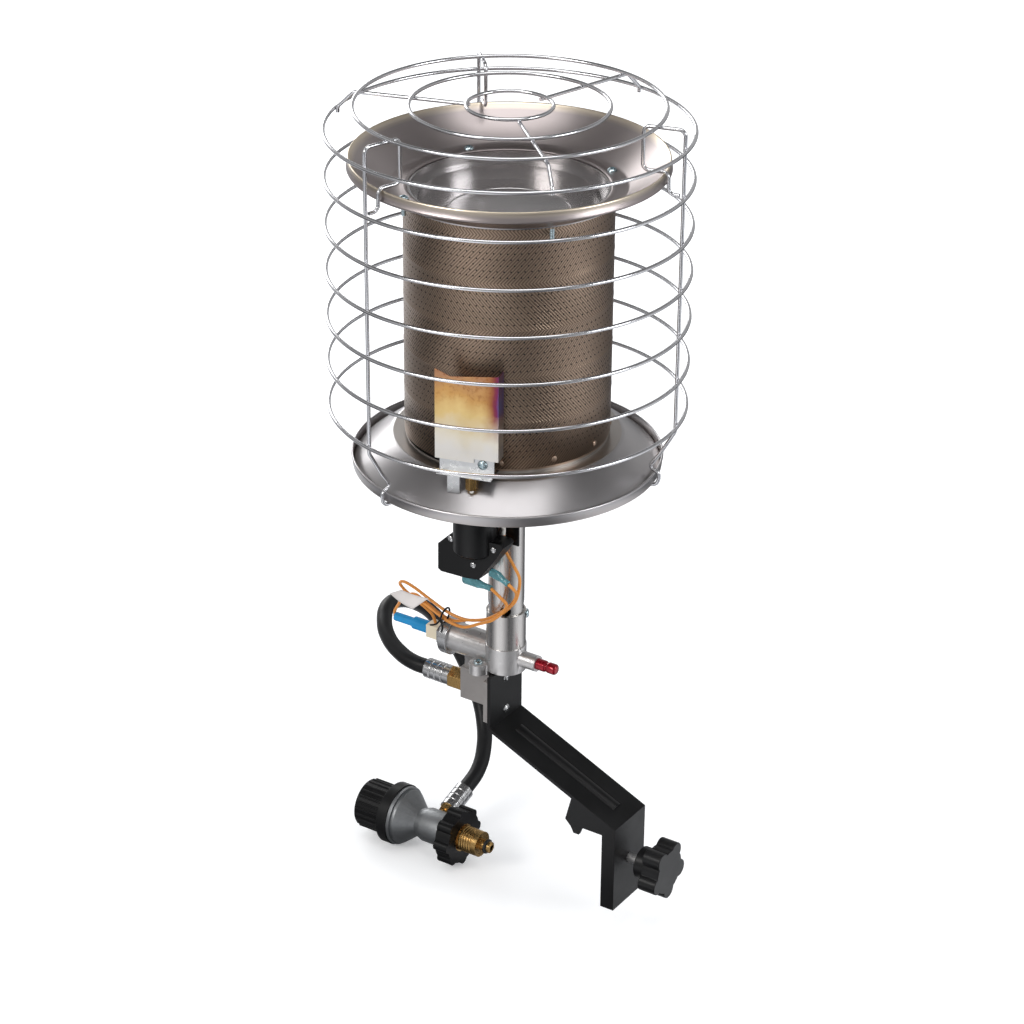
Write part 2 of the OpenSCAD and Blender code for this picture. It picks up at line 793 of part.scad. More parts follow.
BOX_OUTLINE = [for (p = BOX_CORNER_SHARES) [cup_x + p[0] * cup_r, cup_z + p[1] * cup_r]];

module box_slab(y, depth) translate([0, y + depth, 0]) rotate([90, 0, 0])
    linear_extrude(depth) polygon(BOX_OUTLINE);

module cup_space(r) translate([cup_x, cup_y, cup_z + cup_wall])
    cylinder(r = r, h = cup_h, $fn = round_fn);

module switch_screw_holes(y, depth) for (p = SWITCH_SCREWS)
    translate([p[0], y + depth, p[1]]) rotate([90, 0, 0])
        cylinder(r = switch_screw_r, h = depth + cut, $fn = small_fn);

SWITCH_SCREWS = [for (p = SCREW_SHARES) [cup_x + p[0] * cup_r, cup_z + p[1] * cup_r]];

module cup_outer() translate([cup_x, cup_y, cup_z]) rotate_extrude($fn = round_fn) polygon([
    [0, 0], [cup_r - cup_floor_edge, 0], [cup_r, cup_floor_edge], [cup_r, cup_h], [0, cup_h]
]);

module switch_housing() color("#262626") difference() {
    union() {
        cup_outer();
        box_slab(box_y + cover_t, box_t - cover_t);
    }
    cup_space(cup_r - cup_wall);
    switch_screw_holes(box_y + cover_t, box_t / 2);
}

module switch_cover() color("#2c2c2c") difference() {
    box_slab(box_y, cover_t);
    cup_outer();
    switch_screw_holes(box_y - cut, cover_t + cut);
}

module switch_screws() color("silver") for (p = SWITCH_SCREWS)
    translate([p[0], box_y, p[1]]) rotate([90, 0, 0]) {
        cylinder(r = switch_head_r, h = switch_head_h, $fn = small_fn);
        translate([0, 0, -cover_t]) cylinder(r = switch_screw_r, h = cover_t, $fn = small_fn);
    }

module tilt_weight() color("silver") {
    translate([cup_x, cup_y, switch_top_z - pivot_drop - weight_arm]) sphere(r = weight_r, $fn = small_fn);
    translate([cup_x, cup_y, switch_top_z - pivot_drop - weight_arm])
        cylinder(r = pivot_r, h = weight_arm - 3 * pivot_r, $fn = small_fn);
    translate([cup_x, cup_y + pivot_r * 2, switch_top_z - pivot_drop]) rotate([90, 0, 0]) difference() {
        cylinder(r = pivot_r + eye_wall, h = 4 * pivot_r, $fn = small_fn);
        translate([0, 0, -cut])
            cylinder(r = pivot_r + running_gap, h = 4 * pivot_r + 2 * cut, $fn = small_fn);
    }
}

module switch_bracket() color("#303030") {
    translate([cup_x, cup_y, switch_top_z]) cylinder(r = cup_r + lid_lip, h = bracket_t, $fn = round_fn);
    translate([cup_x, cup_y + 2.5 * pivot_r + bracket_t, switch_top_z - pivot_drop]) rotate([90, 0, 0])
        cylinder(r = pivot_r, h = 5 * pivot_r + 2 * bracket_t, $fn = small_fn);
    for (y = [cup_y + 2.5 * pivot_r, cup_y - 2.5 * pivot_r - bracket_t])
        translate([cup_x - 3 * pivot_r, y, switch_top_z - pivot_drop - 3 * pivot_r])
            cube([6 * pivot_r, bracket_t, pivot_drop + 3 * pivot_r]);
    translate([cup_x - cup_r / 2, cup_y, switch_top_z]) cube([cup_r, cup_r, bracket_t]);
    translate([cup_x - cup_r / 2, cup_y + cup_r - bracket_t, switch_top_z])
        cube([cup_r, bracket_t, pan_z - switch_top_z]);
    translate([saddle_x, -tube_r - seat_gap - bracket_t, pan_z - saddle_h])
        cube([saddle_w, bracket_t, saddle_h]);
    translate([cup_x - cup_r / 2, cup_y + cup_r - bracket_t, pan_z - bracket_t])
        cube([
            saddle_x + saddle_w - cup_x + cup_r / 2,
            -tube_r - seat_gap - cup_y - cup_r + bracket_t, bracket_t
        ]);
}

module spade_connectors() color("teal") {
    for (shares = SPADE_SHARES)
        sweep([for (p = shares) [cup_x, cup_y, cup_z] + p * cup_r], spade_r, lead_sides);
}

// Leads

module thermocouple_lead() color("darkorange") sweep(LEAD_A, lead_r, lead_sides);

module switch_leads() color("sandybrown") {
    sweep(LEAD_B, lead_r, lead_sides);
    sweep(LEAD_C, lead_r, lead_sides);
}

module lead_tag() color("whitesmoke") {
    front = [for (p = TAG_SHARES) tag_at + [p[0] * tag_w, -tag_front, p[1] * tag_w]];
    back = [for (p = front) p + [0, tag_t, 0]];
    polyhedron(concat(front, back), [
        [0, 1, 2], [0, 2, 3], [4, 6, 5], [4, 7, 6],
        [0, 5, 1], [0, 4, 5], [1, 6, 2], [1, 5, 6], [2, 7, 3], [2, 6, 7], [3, 4, 0], [3, 7, 4]
    ]);
}

module lead_tie() color("#333333") translate(tie_at) rotate([0, tie_turn, 0])
    rotate_extrude($fn = small_fn) translate([tie_r, 0]) circle(r = tie_wire_r, $fn = small_fn);

// Safety valve

module tube_sleeve() color("lightgray") difference() {
    at_burner(valve_z + boss_top) cylinder(d = sleeve_d, h = sleeve_h, $fn = round_fn);
    at_burner(valve_z + boss_top + sleeve_floor)
        cylinder(r = tube_r + running_gap, h = sleeve_h, $fn = round_fn);
    at_burner(valve_z) cylinder(r = jet_hex_r, h = sleeve_h, $fn = small_fn);
    at_sleeve_screw() translate([0, 0, -sleeve_screw_l])
        cylinder(r = screw_r, h = 2 * sleeve_screw_l, $fn = small_fn);
}

module at_sleeve_screw() at_burner(valve_z + boss_top + sleeve_h - screw_head_r)
    rotate([0, 0, sleeve_screw_turn]) translate([sleeve_d / 2, 0, 0]) rotate([0, 90, 0]) children();

module small_screws() color("silver") {
    at_shield_screw() pan_head_screw(screw_head_r, screw_head_h, screw_r, 2 * shield_t);
    at_sleeve_screw() translate([0, 0, wire_gap])
        pan_head_screw(screw_head_r, screw_head_h, screw_r, wire_gap + sleeve_d / 2 - tube_r - running_gap);
    translate([lug_x, lug_y, lug_top_z]) pan_head_screw(lug_screw_r, lug_screw_h, screw_r, lug_h / 2);
}

module gas_jet() color("goldenrod") at_burner(valve_z + boss_top) difference() {
    union() {
        translate([0, 0, -boss_top / 2]) cylinder(r = jet_stem_r, h = boss_top / 2 + weld, $fn = small_fn);
        cylinder(r = jet_hex_r - seat_gap, h = jet_hex_h, $fn = 6);
        translate([0, 0, jet_hex_h]) cylinder(r = jet_tip_r, h = jet_tip_h - jet_hex_h, $fn = small_fn);
    }
    translate([0, 0, -boss_top / 2 - cut]) cylinder(r = jet_bore_r, h = jet_tip_h + boss_top, $fn = small_fn);
}

module valve_body() color("darkgray") difference() {
    union() {
        rod_x(body_left_x, boss_r - head_reach - body_left_x - boss_r / 2, valve_r, valve_z, fn = round_fn);
        at_burner(valve_z - boss_drop) cylinder(r = boss_r, h = boss_drop + boss_top, $fn = round_fn);
        rod_x(-head_reach, barrel_end_x + head_reach, barrel_r, valve_z, fn = round_fn);
        translate([neck_block_x, -neck_block_w / 2, inlet_z + inlet_up])
            cube([neck_block_l, neck_block_w, valve_z - inlet_z - inlet_up]);
        translate([lug_x, lug_y, lug_top_z - lug_h]) cylinder(r = lug_r, h = lug_h, $fn = small_fn);
        translate([lug_x, lug_y, lug_top_z - lug_h]) cube([lug_r * 2 - lug_in, -lug_y, lug_h]);
    }
    rod_x(body_left_x - cut, seat_x - body_left_x + cut, chamber_r, valve_z, fn = round_fn);
    rod_x(seat_x - cut, barrel_end_x - seat_x, stem_r + stem_gap, valve_z);
    rod_x(spring_seat_x, barrel_end_x - spring_seat_x + cut, button_r + running_gap, valve_z, fn = round_fn);
    at_burner(valve_z) cylinder(r = jet_stem_r, h = boss_top + cut, $fn = small_fn);
    at_burner(valve_z + boss_top) cylinder(d = sleeve_d + 2 * seat_gap, h = sleeve_h, $fn = round_fn);
    translate([way_x, 0, inlet_z]) cylinder(r = gas_way_r, h = valve_z - inlet_z, $fn = small_fn);
    translate([lug_x, lug_y, lug_top_z - lug_h - cut])
        cylinder(r = screw_r, h = lug_h + 2 * cut, $fn = small_fn);
}

module valve_end_cap() color("gainsboro") difference() {
    rod_x(cap_left_x, body_left_x - cap_left_x, end_cap_r, valve_z, fn = round_fn);
    rod_x(cap_left_x - cut, body_left_x - cap_left_x + 2 * cut, magnet_r, valve_z, fn = round_fn);
}

module magnet_unit() color("lightgray")
    rod_x(cap_left_x - magnet_nut_t, armature_left_x - button_travel - wire_gap - cap_left_x + magnet_nut_t,
          magnet_r, valve_z, fn = round_fn);

module magnet_nut() color("white") difference() {
    rod_x(cap_left_x - magnet_nut_t, magnet_nut_t, magnet_nut_r, valve_z, fn = 6);
    rod_x(cap_left_x - magnet_nut_t - cut, magnet_nut_t + 2 * cut, magnet_r, valve_z, fn = round_fn);
}

block_x = cap_left_x - magnet_nut_t - block_l;

module interrupter_block() color("beige")
    translate([block_x, -block_side / 2, valve_z - block_side / 2]) cube([block_l, block_side, block_side]);

module lead_terminal() color("deepskyblue") {
    rod_x(block_x - terminal_l * terminal_head_share, terminal_l * terminal_head_share, terminal_r, valve_z);
    rod_x(block_x - terminal_l, terminal_l * (1 - terminal_head_share), terminal_tail_share * terminal_r,
          valve_z);
}

button_start_x = barrel_end_x - button_in;
button_end_x = barrel_end_x + button_out;

module safety_button() color("crimson") difference() {
    lathe_x(button_start_x, valve_z) polygon([
        [0, 0], [button_r, 0], [button_r, button_end_x - button_start_x - button_tip_l - neck_w],
        [neck_r, button_end_x - button_start_x - button_tip_l - neck_w / 2],
        [button_tip_r, button_end_x - button_start_x - button_tip_l],
        [button_tip_r, button_end_x - button_start_x - neck_w / 2],
        [button_tip_r - neck_w / 2, button_end_x - button_start_x], [0, button_end_x - button_start_x]
    ]);
    rod_x(button_start_x - cut, button_tip_l + cut, stem_r, valve_z);
}

module valve_stem() color("lightgray") {
    rod_x(armature_left_x, button_start_x + button_tip_l - armature_left_x, stem_r, valve_z);
    rod_x(armature_left_x, armature_t, armature_r, valve_z);
}

module valve_disc() color("#222222") difference() {
    rod_x(seat_x - disc_gap - disc_t, disc_t, disc_r, valve_z);
    rod_x(seat_x - disc_gap - disc_t - cut, disc_t + 2 * cut, stem_r, valve_z);
}

function spring_path(x, z, l, r, turns, steps) = [
    for (k = [0:turns * steps])
        [x + l * k / (turns * steps), r * cos(360 * k / steps), z + r * sin(360 * k / steps)]
];

module button_spring() color("silver") sweep(spring_path(
    spring_seat_x + spring_wire_r, valve_z, button_start_x - spring_seat_x - 2 * spring_wire_r,
    spring_mean_r, spring_turns, spring_steps), spring_wire_r, spring_sides);

module inlet_block() color("silver") difference() {
    union() {
        translate([block_left_x, -inlet_w / 2, inlet_z - inlet_down])
            cube([strip_back_x - block_left_x, inlet_w, inlet_down + inlet_up]);
        translate([strip_back_x, -bracket_w / 2, strip_low_z])
            cube([strip_t, bracket_w, strip_top_z - strip_low_z]);
    }
    rod_x(block_left_x - cut, cut + fitting_stub_l, inlet_bore_r, inlet_z);
    rod_x(block_left_x, way_x - block_left_x, gas_way_r, inlet_z);
    translate([way_x, 0, inlet_z]) cylinder(r = gas_way_r, h = inlet_up + cut, $fn = small_fn);
    at_tab_screws(strip_back_x - cut) cylinder(r = screw_r, h = strip_t + 2 * cut, $fn = small_fn);
}

module at_tab_screws(x) for (side = [-1, 1])
    along_x(x, 0, tab_screw_mid_z + side * tab_screw_spread / 2) children();

// Hose

fitting_left_x = block_left_x - fitting_neck_l - fitting_hex_l;

module inlet_fitting() color("goldenrod") difference() {
    union() {
        rod_x(block_left_x - fitting_neck_l, fitting_neck_l + fitting_stub_l, inlet_bore_r, inlet_z);
        rod_x(fitting_left_x, fitting_hex_l + fitting_neck_l, fitting_hex_r, inlet_z, fn = 6);
        rod_x(hose_start[0], fitting_left_x - hose_start[0], tail_r, inlet_z);
    }
    rod_x(hose_start[0] - cut, block_left_x + fitting_stub_l - hose_start[0] + 2 * cut, tail_bore_r, inlet_z);
}

module ferrule_shape() rotate_extrude($fn = round_fn) difference() {
    translate([tail_r, 0]) square([ferrule_r - tail_r, ferrule_l]);
    for (k = [1:groove_count]) translate([ferrule_r + groove_r / 2, k * groove_gap])
        circle(r = groove_r, $fn = small_fn);
}

module at_port(out) translate([port_x, 0, -regulator_drop])
    rotate([port_tilt - 90, 0, 0]) translate([0, 0, out]) children();

module ferrules() color("silver") {
    along_x(hose_start[0], 0, inlet_z) ferrule_shape();
    at_port(port_out - ferrule_l) ferrule_shape();
}

module hose() color("#1c1c1c") sweep(HOSE_ROUTE, hose_d / 2, hose_sides);

module hose_tail() color("goldenrod") difference() {
    union() {
        at_port(hub_r) cylinder(r = port_r - tail_step, h = port_out - ferrule_l - hub_r, $fn = small_fn);
        at_port(port_out - ferrule_l - tail_hex_l) cylinder(r = tail_hex_r, h = tail_hex_l, $fn = 6);
        at_port(port_out - ferrule_l) cylinder(r = tail_r, h = ferrule_l, $fn = small_fn);
    }
    at_port(hub_r - cut) cylinder(r = tail_bore_r, h = port_out, $fn = small_fn);
}

// Regulator

module regulator_body() color("gray") difference() {
    union() {
        lathe_x(case_left_x - clamp_ring_t, -regulator_drop) polygon([
            [0, 0], [clamp_ring_r, 0], [clamp_ring_r, clamp_ring_t], [case_r, clamp_ring_t],
            [case_r, clamp_ring_t + case_t / 2], [waist_r, waist_x - case_left_x + clamp_ring_t],
            [hub_r, hub_left_x - case_left_x + 2 * clamp_ring_t],
            [hub_r, hub_right_x - case_left_x + clamp_ring_t], [0, hub_right_x - case_left_x + clamp_ring_t]
        ]);
        intersection() {
            at_port(0) cylinder(r = port_r + port_wall, h = hub_r, $fn = small_fn);
            lathe_x(hub_left_x - hub_r, -regulator_drop) square([hub_r, 4 * hub_r]);
        }
    }
    rod_x(bonnet_right_x - cut, chamber_l + cut, diaphragm_r - chamber_wall, -regulator_drop, fn = round_fn);
    rod_x(bonnet_right_x, hub_right_x - bonnet_right_x + cut, gas_way_r, -regulator_drop);
    rod_x(hub_right_x - nose_in, nose_in + cut, nose_r, -regulator_drop);
    at_port(0) cylinder(r = tail_bore_r, h = hub_r + cut, $fn = small_fn);
}

spring_room_r = reg_spring_r + 2 * reg_spring_wire;

module regulator_bonnet() color("#242424") difference() {
    rod_x(bonnet_left_x + seat_gap, bonnet_t - seat_gap, bonnet_r, -regulator_drop, fn = round_fn);
    rod_x(bonnet_right_x - diaphragm_t, diaphragm_t + cut, diaphragm_r, -regulator_drop, fn = round_fn);
    rod_x(bonnet_left_x - cut, bonnet_t + 2 * cut, spring_room_r, -regulator_drop, fn = round_fn);
}

module diaphragm() color("#5a3a2a")
    rod_x(bonnet_right_x - diaphragm_t, diaphragm_t, diaphragm_r, -regulator_drop, fn = round_fn);

spring_left_x = bonnet_right_x - diaphragm_t - reg_spring_l;

module regulator_spring() color("silver") sweep(spring_path(
    spring_left_x + reg_spring_wire, -regulator_drop, reg_spring_l - 2 * reg_spring_wire - wire_gap,
    reg_spring_r, reg_spring_turns, spring_steps), reg_spring_wire, spring_sides);

module control_knob() color("#202020") difference() {
    union() {
        rod_x(knob_left_x, knob_l, knob_r - knob_rib_r / 2, -regulator_drop, fn = round_fn);
        for (k = [0:knob_rib_count - 1])
            translate([0, 0, -regulator_drop]) rotate([360 * k / knob_rib_count, 0, 0]) rod_x(
                knob_left_x + knob_rib_inset, knob_l - 2 * knob_rib_inset, knob_rib_r,
                knob_r - knob_rib_r / 2);
    }
    rod_x(spring_left_x - wire_gap, knob_l, spring_room_r, -regulator_drop, fn = round_fn);
}

seal_x = nose_end_x - 3 * seal_r;
flange_x = thread_end_x - 2 * thread_pitch;

module connector_nose() color("goldenrod") lathe_x(0, -regulator_drop) polygon([
    [gas_way_r, hub_right_x - nose_in], [nose_r, hub_right_x - nose_in], [nose_r, flange_x],
    [collar_r, flange_x], [collar_r, thread_end_x - wire_gap], [nose_r, thread_end_x - wire_gap],
    [nose_r, seal_x - seal_r], [nose_r - seal_r, seal_x - seal_r], [nose_r - seal_r, seal_x + seal_r],
    [nose_r, seal_x + seal_r], [nose_r, nose_end_x - seal_r / 2], [nose_r - seal_r, nose_end_x],
    [gas_way_r, nose_end_x]
]);

module nose_seal() color("#151515") lathe_x(seal_x, -regulator_drop)
    translate([nose_r, 0]) circle(r = seal_r, $fn = small_fn);

thread_from_x = wheel_left_x + wheel_t + relief_l;
thread_turns = floor((thread_end_x - thread_land - thread_from_x) / thread_pitch);
// Places along one thread, as shares of its pitch: root, next crest
root_share = 0.3;
crest_share = 0.6;

module connector_nut() color("goldenrod") lathe_x(0, -regulator_drop) polygon([
    [nut_bore_r, nut_left_x], [thread_r + shoulder_step, nut_left_x],
    [thread_r + shoulder_step, thread_from_x - relief_l], [thread_r - relief_step, thread_from_x - relief_l],
    [thread_r - relief_step, thread_from_x], [thread_r, thread_from_x],
    for (k = [0:thread_turns - 1]) let (x = thread_from_x + (k + 1 - crest_share) * thread_pitch) each [
        [thread_r, x],
        [thread_r - thread_groove_h, x + root_share * thread_pitch],
        [thread_r, x + crest_share * thread_pitch]
    ],
    [thread_r, thread_end_x], [collar_r + running_gap, thread_end_x],
    [collar_r + running_gap, flange_x - wire_gap], [nut_bore_r, flange_x - wire_gap]
]);

module handwheel() color("#1e1e1e") difference() {
    union() {
        rod_x(wheel_left_x, wheel_t, wheel_r - lobe_r * lobe_out_share, -regulator_drop, fn = round_fn);
        for (k = [0:wheel_lobes - 1]) translate([0, 0, -regulator_drop]) rotate([360 * k / wheel_lobes, 0, 0])
            rod_x(wheel_left_x, wheel_t, lobe_r, wheel_r - lobe_r);
    }
    rod_x(wheel_left_x - cut, nut_left_x - wheel_left_x + 2 * cut, nut_bore_r + cut, -regulator_drop,
          fn = round_fn);
    rod_x(nut_left_x, wheel_t, thread_r + shoulder_step, -regulator_drop, fn = round_fn);
}

// Bracket and clamp

module on_arm(run, rise) translate([tab_face_x, 0, arm_high_z]) rotate([0, arm_angle, 0])
    translate([run, 0, rise]) children();

module bracket() color("#1a1a1a") difference() {
    union() {
        translate([0, bracket_w / 2, 0]) rotate([90, 0, 0]) linear_extrude(bracket_w) polygon([
            [tab_back_x, tab_top_z], [tab_face_x, tab_top_z], [tab_face_x, arm_high_z],
            [leg_face_x, arm_low_z], [leg_face_x, -leg_h], [leg_back_x, -leg_h],
            [leg_back_x, arm_low_z - arm_under], [tab_back_x, arm_high_z - arm_under]
        ]);
        for (y = [-bracket_w / 2, bracket_w / 2 - plate]) translate([0, y + plate, 0]) rotate([90, 0, 0])
            linear_extrude(plate) polygon([
                [flange_edge_x, -leg_h], [leg_back_x + weld, -leg_h],
                [leg_back_x + weld, arm_low_z - plate / 2],
                [cheek_top_x, arm_low_z + (leg_back_x - cheek_top_x) * arm_drop / arm_run - plate / 2],
                [cheek_top_x - hook_lobe_r, hook_z + hook_lobe_r], [hook_x - hook_lobe_r, hook_z],
                [hook_x - hook_r, hook_z - hook_lobe_r], [hook_x + hook_r, hook_z - hook_lobe_r],
                [cheek_left_x, hook_z], [cheek_left_x, 0], [flange_edge_x, 0]
            ]);
        intersection() {
            on_arm(rib_in, -rib_w / 2 + rib_rise) rotate([0, 90, 0])
                cylinder(r = rib_w / 2, h = arm_l - 2 * rib_in, $fn = small_fn);
            on_arm(0, -plate / 2) translate([0, -rib_w, 0]) cube([arm_l, 2 * rib_w, rib_w]);
        }
    }
    along_x(leg_back_x - cut, 0, -bolt_drop)
        cylinder(r = bolt_r + seat_gap, h = plate + 2 * cut, $fn = small_fn);
    at_tab_screws(tab_back_x - cut) cylinder(r = screw_r, h = plate + 2 * cut, $fn = small_fn);
    translate([hook_x, bracket_w, hook_z]) rotate([90, 0, 0])
        cylinder(r = hook_r, h = 2 * bracket_w, $fn = small_fn);
}

module hook_bar() color("#101010") translate([hook_x, bracket_w / 2, hook_z]) rotate([90, 0, 0])
    cylinder(r = hook_r, h = bracket_w, $fn = small_fn);

module bracket_screws() color("silver") at_tab_screws(tab_face_x)
    pan_head_screw(screw_head_r, screw_head_h, screw_r, plate + strip_t);

module threaded_insert() color("lightgray") difference() {
    rod_x(leg_back_x - insert_l, insert_l, insert_r, -bolt_drop, fn = 6);
    rod_x(leg_back_x - insert_l - cut, insert_l + 2 * cut, bolt_r + running_gap, -bolt_drop);
}

module clamp_bolt() color("silver")
    rod_x(foot_x + foot_t / 2, star_hub_x + bolt_in_star - foot_x - foot_t / 2, bolt_r, -bolt_drop);

module bolt_foot() color("gray") difference() {
    rod_x(foot_x, foot_t, foot_r, -bolt_drop);
    rod_x(foot_x + foot_t / 2 - wire_gap, foot_t, bolt_r + running_gap, -bolt_drop);
}

module star_knob() color("#181818") difference() {
    union() {
        rod_x(star_hub_x, star_hub_l + star_t / 2, star_hub_r, -bolt_drop, fn = round_fn);
        along_x(star_x, 0, -bolt_drop) linear_extrude(star_t) {
            circle(r = star_waist_r, $fn = round_fn);
            for (k = [0:star_lobes - 1]) rotate(360 * k / star_lobes)
                translate([star_r - star_lobe_r, 0]) circle(r = star_lobe_r, $fn = small_fn);
        }
    }
    rod_x(star_hub_x - cut, bolt_in_star + cut, bolt_r, -bolt_drop);
}

guard_rings();
grille_rings();
guard_spokes();
guard_uprights();
upper_reflector();
lower_reflector();
burner_cap();
burner_screen();
inner_screen();
burner_base();
base_rivets();
reflector_screws();
burner_tube();
heat_shield();
shield_bracket();
thermocouple();
switch_bracket();
switch_housing();
switch_cover();
tilt_weight();
spade_connectors();
switch_screws();
thermocouple_lead();
switch_leads();
lead_tag();
lead_tie();
tube_sleeve();
small_screws();
gas_jet();
valve_body();
valve_end_cap();
magnet_unit();
magnet_nut();
interrupter_block();
lead_terminal();
safety_button();
valve_stem();
valve_disc();
button_spring();
inlet_block();
inlet_fitting();
ferrules();
hose();
hose_tail();
regulator_body();
regulator_bonnet();
diaphragm();
regulator_spring();
control_knob();
connector_nose();
nose_seal();
connector_nut();
handwheel();
bracket();
hook_bar();
bracket_screws();
threaded_insert();
clamp_bolt();
star_knob();
bolt_foot();
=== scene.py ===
"""Portable propane heater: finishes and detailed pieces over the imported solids."""

import json
import math

import bmesh
import bpy
from bpy.props import FloatProperty, FloatVectorProperty, IntProperty, PointerProperty
from mathutils import Matrix, Vector

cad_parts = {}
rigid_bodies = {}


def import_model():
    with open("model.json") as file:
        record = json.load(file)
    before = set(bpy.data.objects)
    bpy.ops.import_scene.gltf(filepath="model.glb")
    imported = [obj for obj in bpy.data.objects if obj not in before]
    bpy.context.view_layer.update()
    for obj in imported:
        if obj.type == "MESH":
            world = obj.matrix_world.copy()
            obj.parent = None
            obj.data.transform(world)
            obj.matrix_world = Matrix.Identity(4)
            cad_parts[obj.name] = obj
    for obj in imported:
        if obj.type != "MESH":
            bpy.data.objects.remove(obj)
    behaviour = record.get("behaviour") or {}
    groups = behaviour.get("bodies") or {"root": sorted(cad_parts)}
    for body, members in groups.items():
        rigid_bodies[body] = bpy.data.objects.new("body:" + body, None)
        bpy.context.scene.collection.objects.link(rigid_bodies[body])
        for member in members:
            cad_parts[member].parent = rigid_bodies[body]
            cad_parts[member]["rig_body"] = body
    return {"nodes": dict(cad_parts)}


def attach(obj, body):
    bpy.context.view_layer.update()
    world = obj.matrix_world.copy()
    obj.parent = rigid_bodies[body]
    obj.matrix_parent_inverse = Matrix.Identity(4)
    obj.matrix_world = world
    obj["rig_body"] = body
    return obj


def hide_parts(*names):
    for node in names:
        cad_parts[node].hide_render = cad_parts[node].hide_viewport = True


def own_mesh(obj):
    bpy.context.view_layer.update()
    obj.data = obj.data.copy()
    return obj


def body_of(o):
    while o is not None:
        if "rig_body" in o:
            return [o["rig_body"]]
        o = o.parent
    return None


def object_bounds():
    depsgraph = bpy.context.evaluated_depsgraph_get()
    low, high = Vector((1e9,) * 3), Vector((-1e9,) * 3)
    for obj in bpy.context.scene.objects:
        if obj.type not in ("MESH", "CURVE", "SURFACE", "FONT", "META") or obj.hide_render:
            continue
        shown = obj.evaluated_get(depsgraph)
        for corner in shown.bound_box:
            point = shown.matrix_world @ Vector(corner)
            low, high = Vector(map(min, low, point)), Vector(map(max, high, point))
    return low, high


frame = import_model()
SOLID_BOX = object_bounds()

bl_info = {
    "name": "Portable propane heater",
    "version": (1, 0, 0),
    "blender": (4, 5, 0),
    "location": "View3D > Sidebar > Heater",
    "description": "Dresses the packed solids of a portable propane heater",
    "category": "Object",
}

MM = 0.001
BURNER_X = -100.0

# Heights and radii shared by the pieces, in millimetres
PAN_Z = 326.0
UPPER_Z = 530.5
REFLECTOR_H = 25.1
REFLECTOR_HOLE_R = 77.5
FLAT_R = 92.0
RIM_R = 122.5
BEAD_Z = REFLECTOR_H - 8.0
TOP_RING_Z = 576.8
LOW_RING_Z = 353.6
GRILLE_Z = 594.2
CROWN_Z = 591.5
RING_R = 140.0
TOP_RINGS_R = (118, 75.8, 32.8)
UPRIGHT_R = 137.3
SCREEN_R = 81.0
SCREEN_LOW_Z = 331.0
SCREEN_TOP_Z = 528.5
FLANGE_R = 90.0
HOLE_LIFT = 0.12
VALVE_Z = 124.0
REGULATOR_Z = -71.0

# Counts of what repeats
SIDE_RINGS = 7
HOLE_ROWS = 38

# Angles round the burner's axis, in degrees
SENSOR_TURN = -75
FIRST_SPOKE_TURN = 76.5
FIRST_UPRIGHT_TURN = 14
FIRST_SCREW_TURN = 55.5
SLEEVE_SCREW_TURN = 33.5

# The photograph's viewpoint: lens in millimetres, angles in degrees, place in metres
CAMERA_LENS = 102.86
CAMERA_TURN = 33.5
CAMERA_PITCH = 26.83
CAMERA_ROLL = 0.47
CAMERA_PLACE = (1.0557, -1.7386, 1.3095)

# Head radius, head height and shank radius of the screws, in millimetres
LARGE_SCREW = (4.0, 2.4, 2.0)
SMALL_SCREW = (2.8, 1.6, 1.8)

# Routes and places in the part's frame, in millimetres
HOSE_ROUTE = [
    (-178, 0, 85), (-193, 0, 85.5), (-209, 4, 87), (-229, 14, 91), (-245, 30, 96), (-254, 48, 99),
    (-256, 68, 95), (-251, 88, 84), (-243, 104, 66), (-232, 114, 42), (-219, 117, 18), (-205, 114, -6),
    (-192, 104, -25), (-181, 88, -39), (-174, 68.6, -49.4), (-172, 44.8, -56.9),
]
LEAD_A = [
    (-68.8, -95.2, 321.7), (-68.8, -94.4, 306), (-72, -78, 288), (-84, -48, 270), (-88.5, -23, 254),
    (-88, -21, 234), (-80, -20, 220), (-74, -20, 209), (-76, -21, 192), (-83, -21, 181), (-93, -21, 171),
    (-105, -21, 163), (-122, -22, 158), (-137, -22, 153), (-150, -22, 155), (-164, -22, 161),
    (-178, -18, 163), (-190, -14.5, 156), (-199, -9, 147), (-205, -4, 139), (-211, -1, 130), (-212, 0, 124),
]
LEAD_B = [
    (-73, -38, 213), (-70, -35, 208), (-71, -29, 201), (-75, -26, 192), (-82, -26, 183),
    (-92, -26, 174), (-104, -26, 166), (-121, -27, 161), (-138, -28, 163), (-155, -28, 169),
    (-172, -26, 174), (-186, -22, 174), (-194, -17, 168), (-193, -12, 160), (-186, -8, 152),
    (-179, -4, 145), (-173, -1, 138), (-170, 0, 130),
]
LEAD_C = [
    (-88, -40, 205.6), (-81, -37, 198), (-79, -31, 189), (-84, -31, 180), (-93, -31, 171),
    (-105, -31, 164), (-121, -31, 156), (-137, -31, 157), (-152, -31, 163), (-166, -30, 168),
]
SPADES = [
    [(-117, -36, 204), (-102, -37, 204.4), (-88, -40, 205.6)],
    [(-91.5, -35, 217), (-83, -36, 216), (-73, -38, 213)],
]
TAG_CORNERS = [(-193, -33, 166), (-181, -33, 173), (-154, -33, 173), (-170, -33, 158)]
SLEEVE_END = (-88.4, -22.2, 246)
TIE_AT = (-141, -28, 159)
SWITCH_BOX = (-107, -40, 230)


def srgb(text):
    """A linear colour from a hex code."""
    parts = [int(text[i:i + 2], 16) / 255 for i in (1, 3, 5)]
    return [c / 12.92 if c <= 0.04045 else ((c + 0.055) / 1.055) ** 2.4 for c in parts]


def metres(points):
    """Places in millimetres as vectors in metres."""
    return [Vector(p) * MM for p in points]


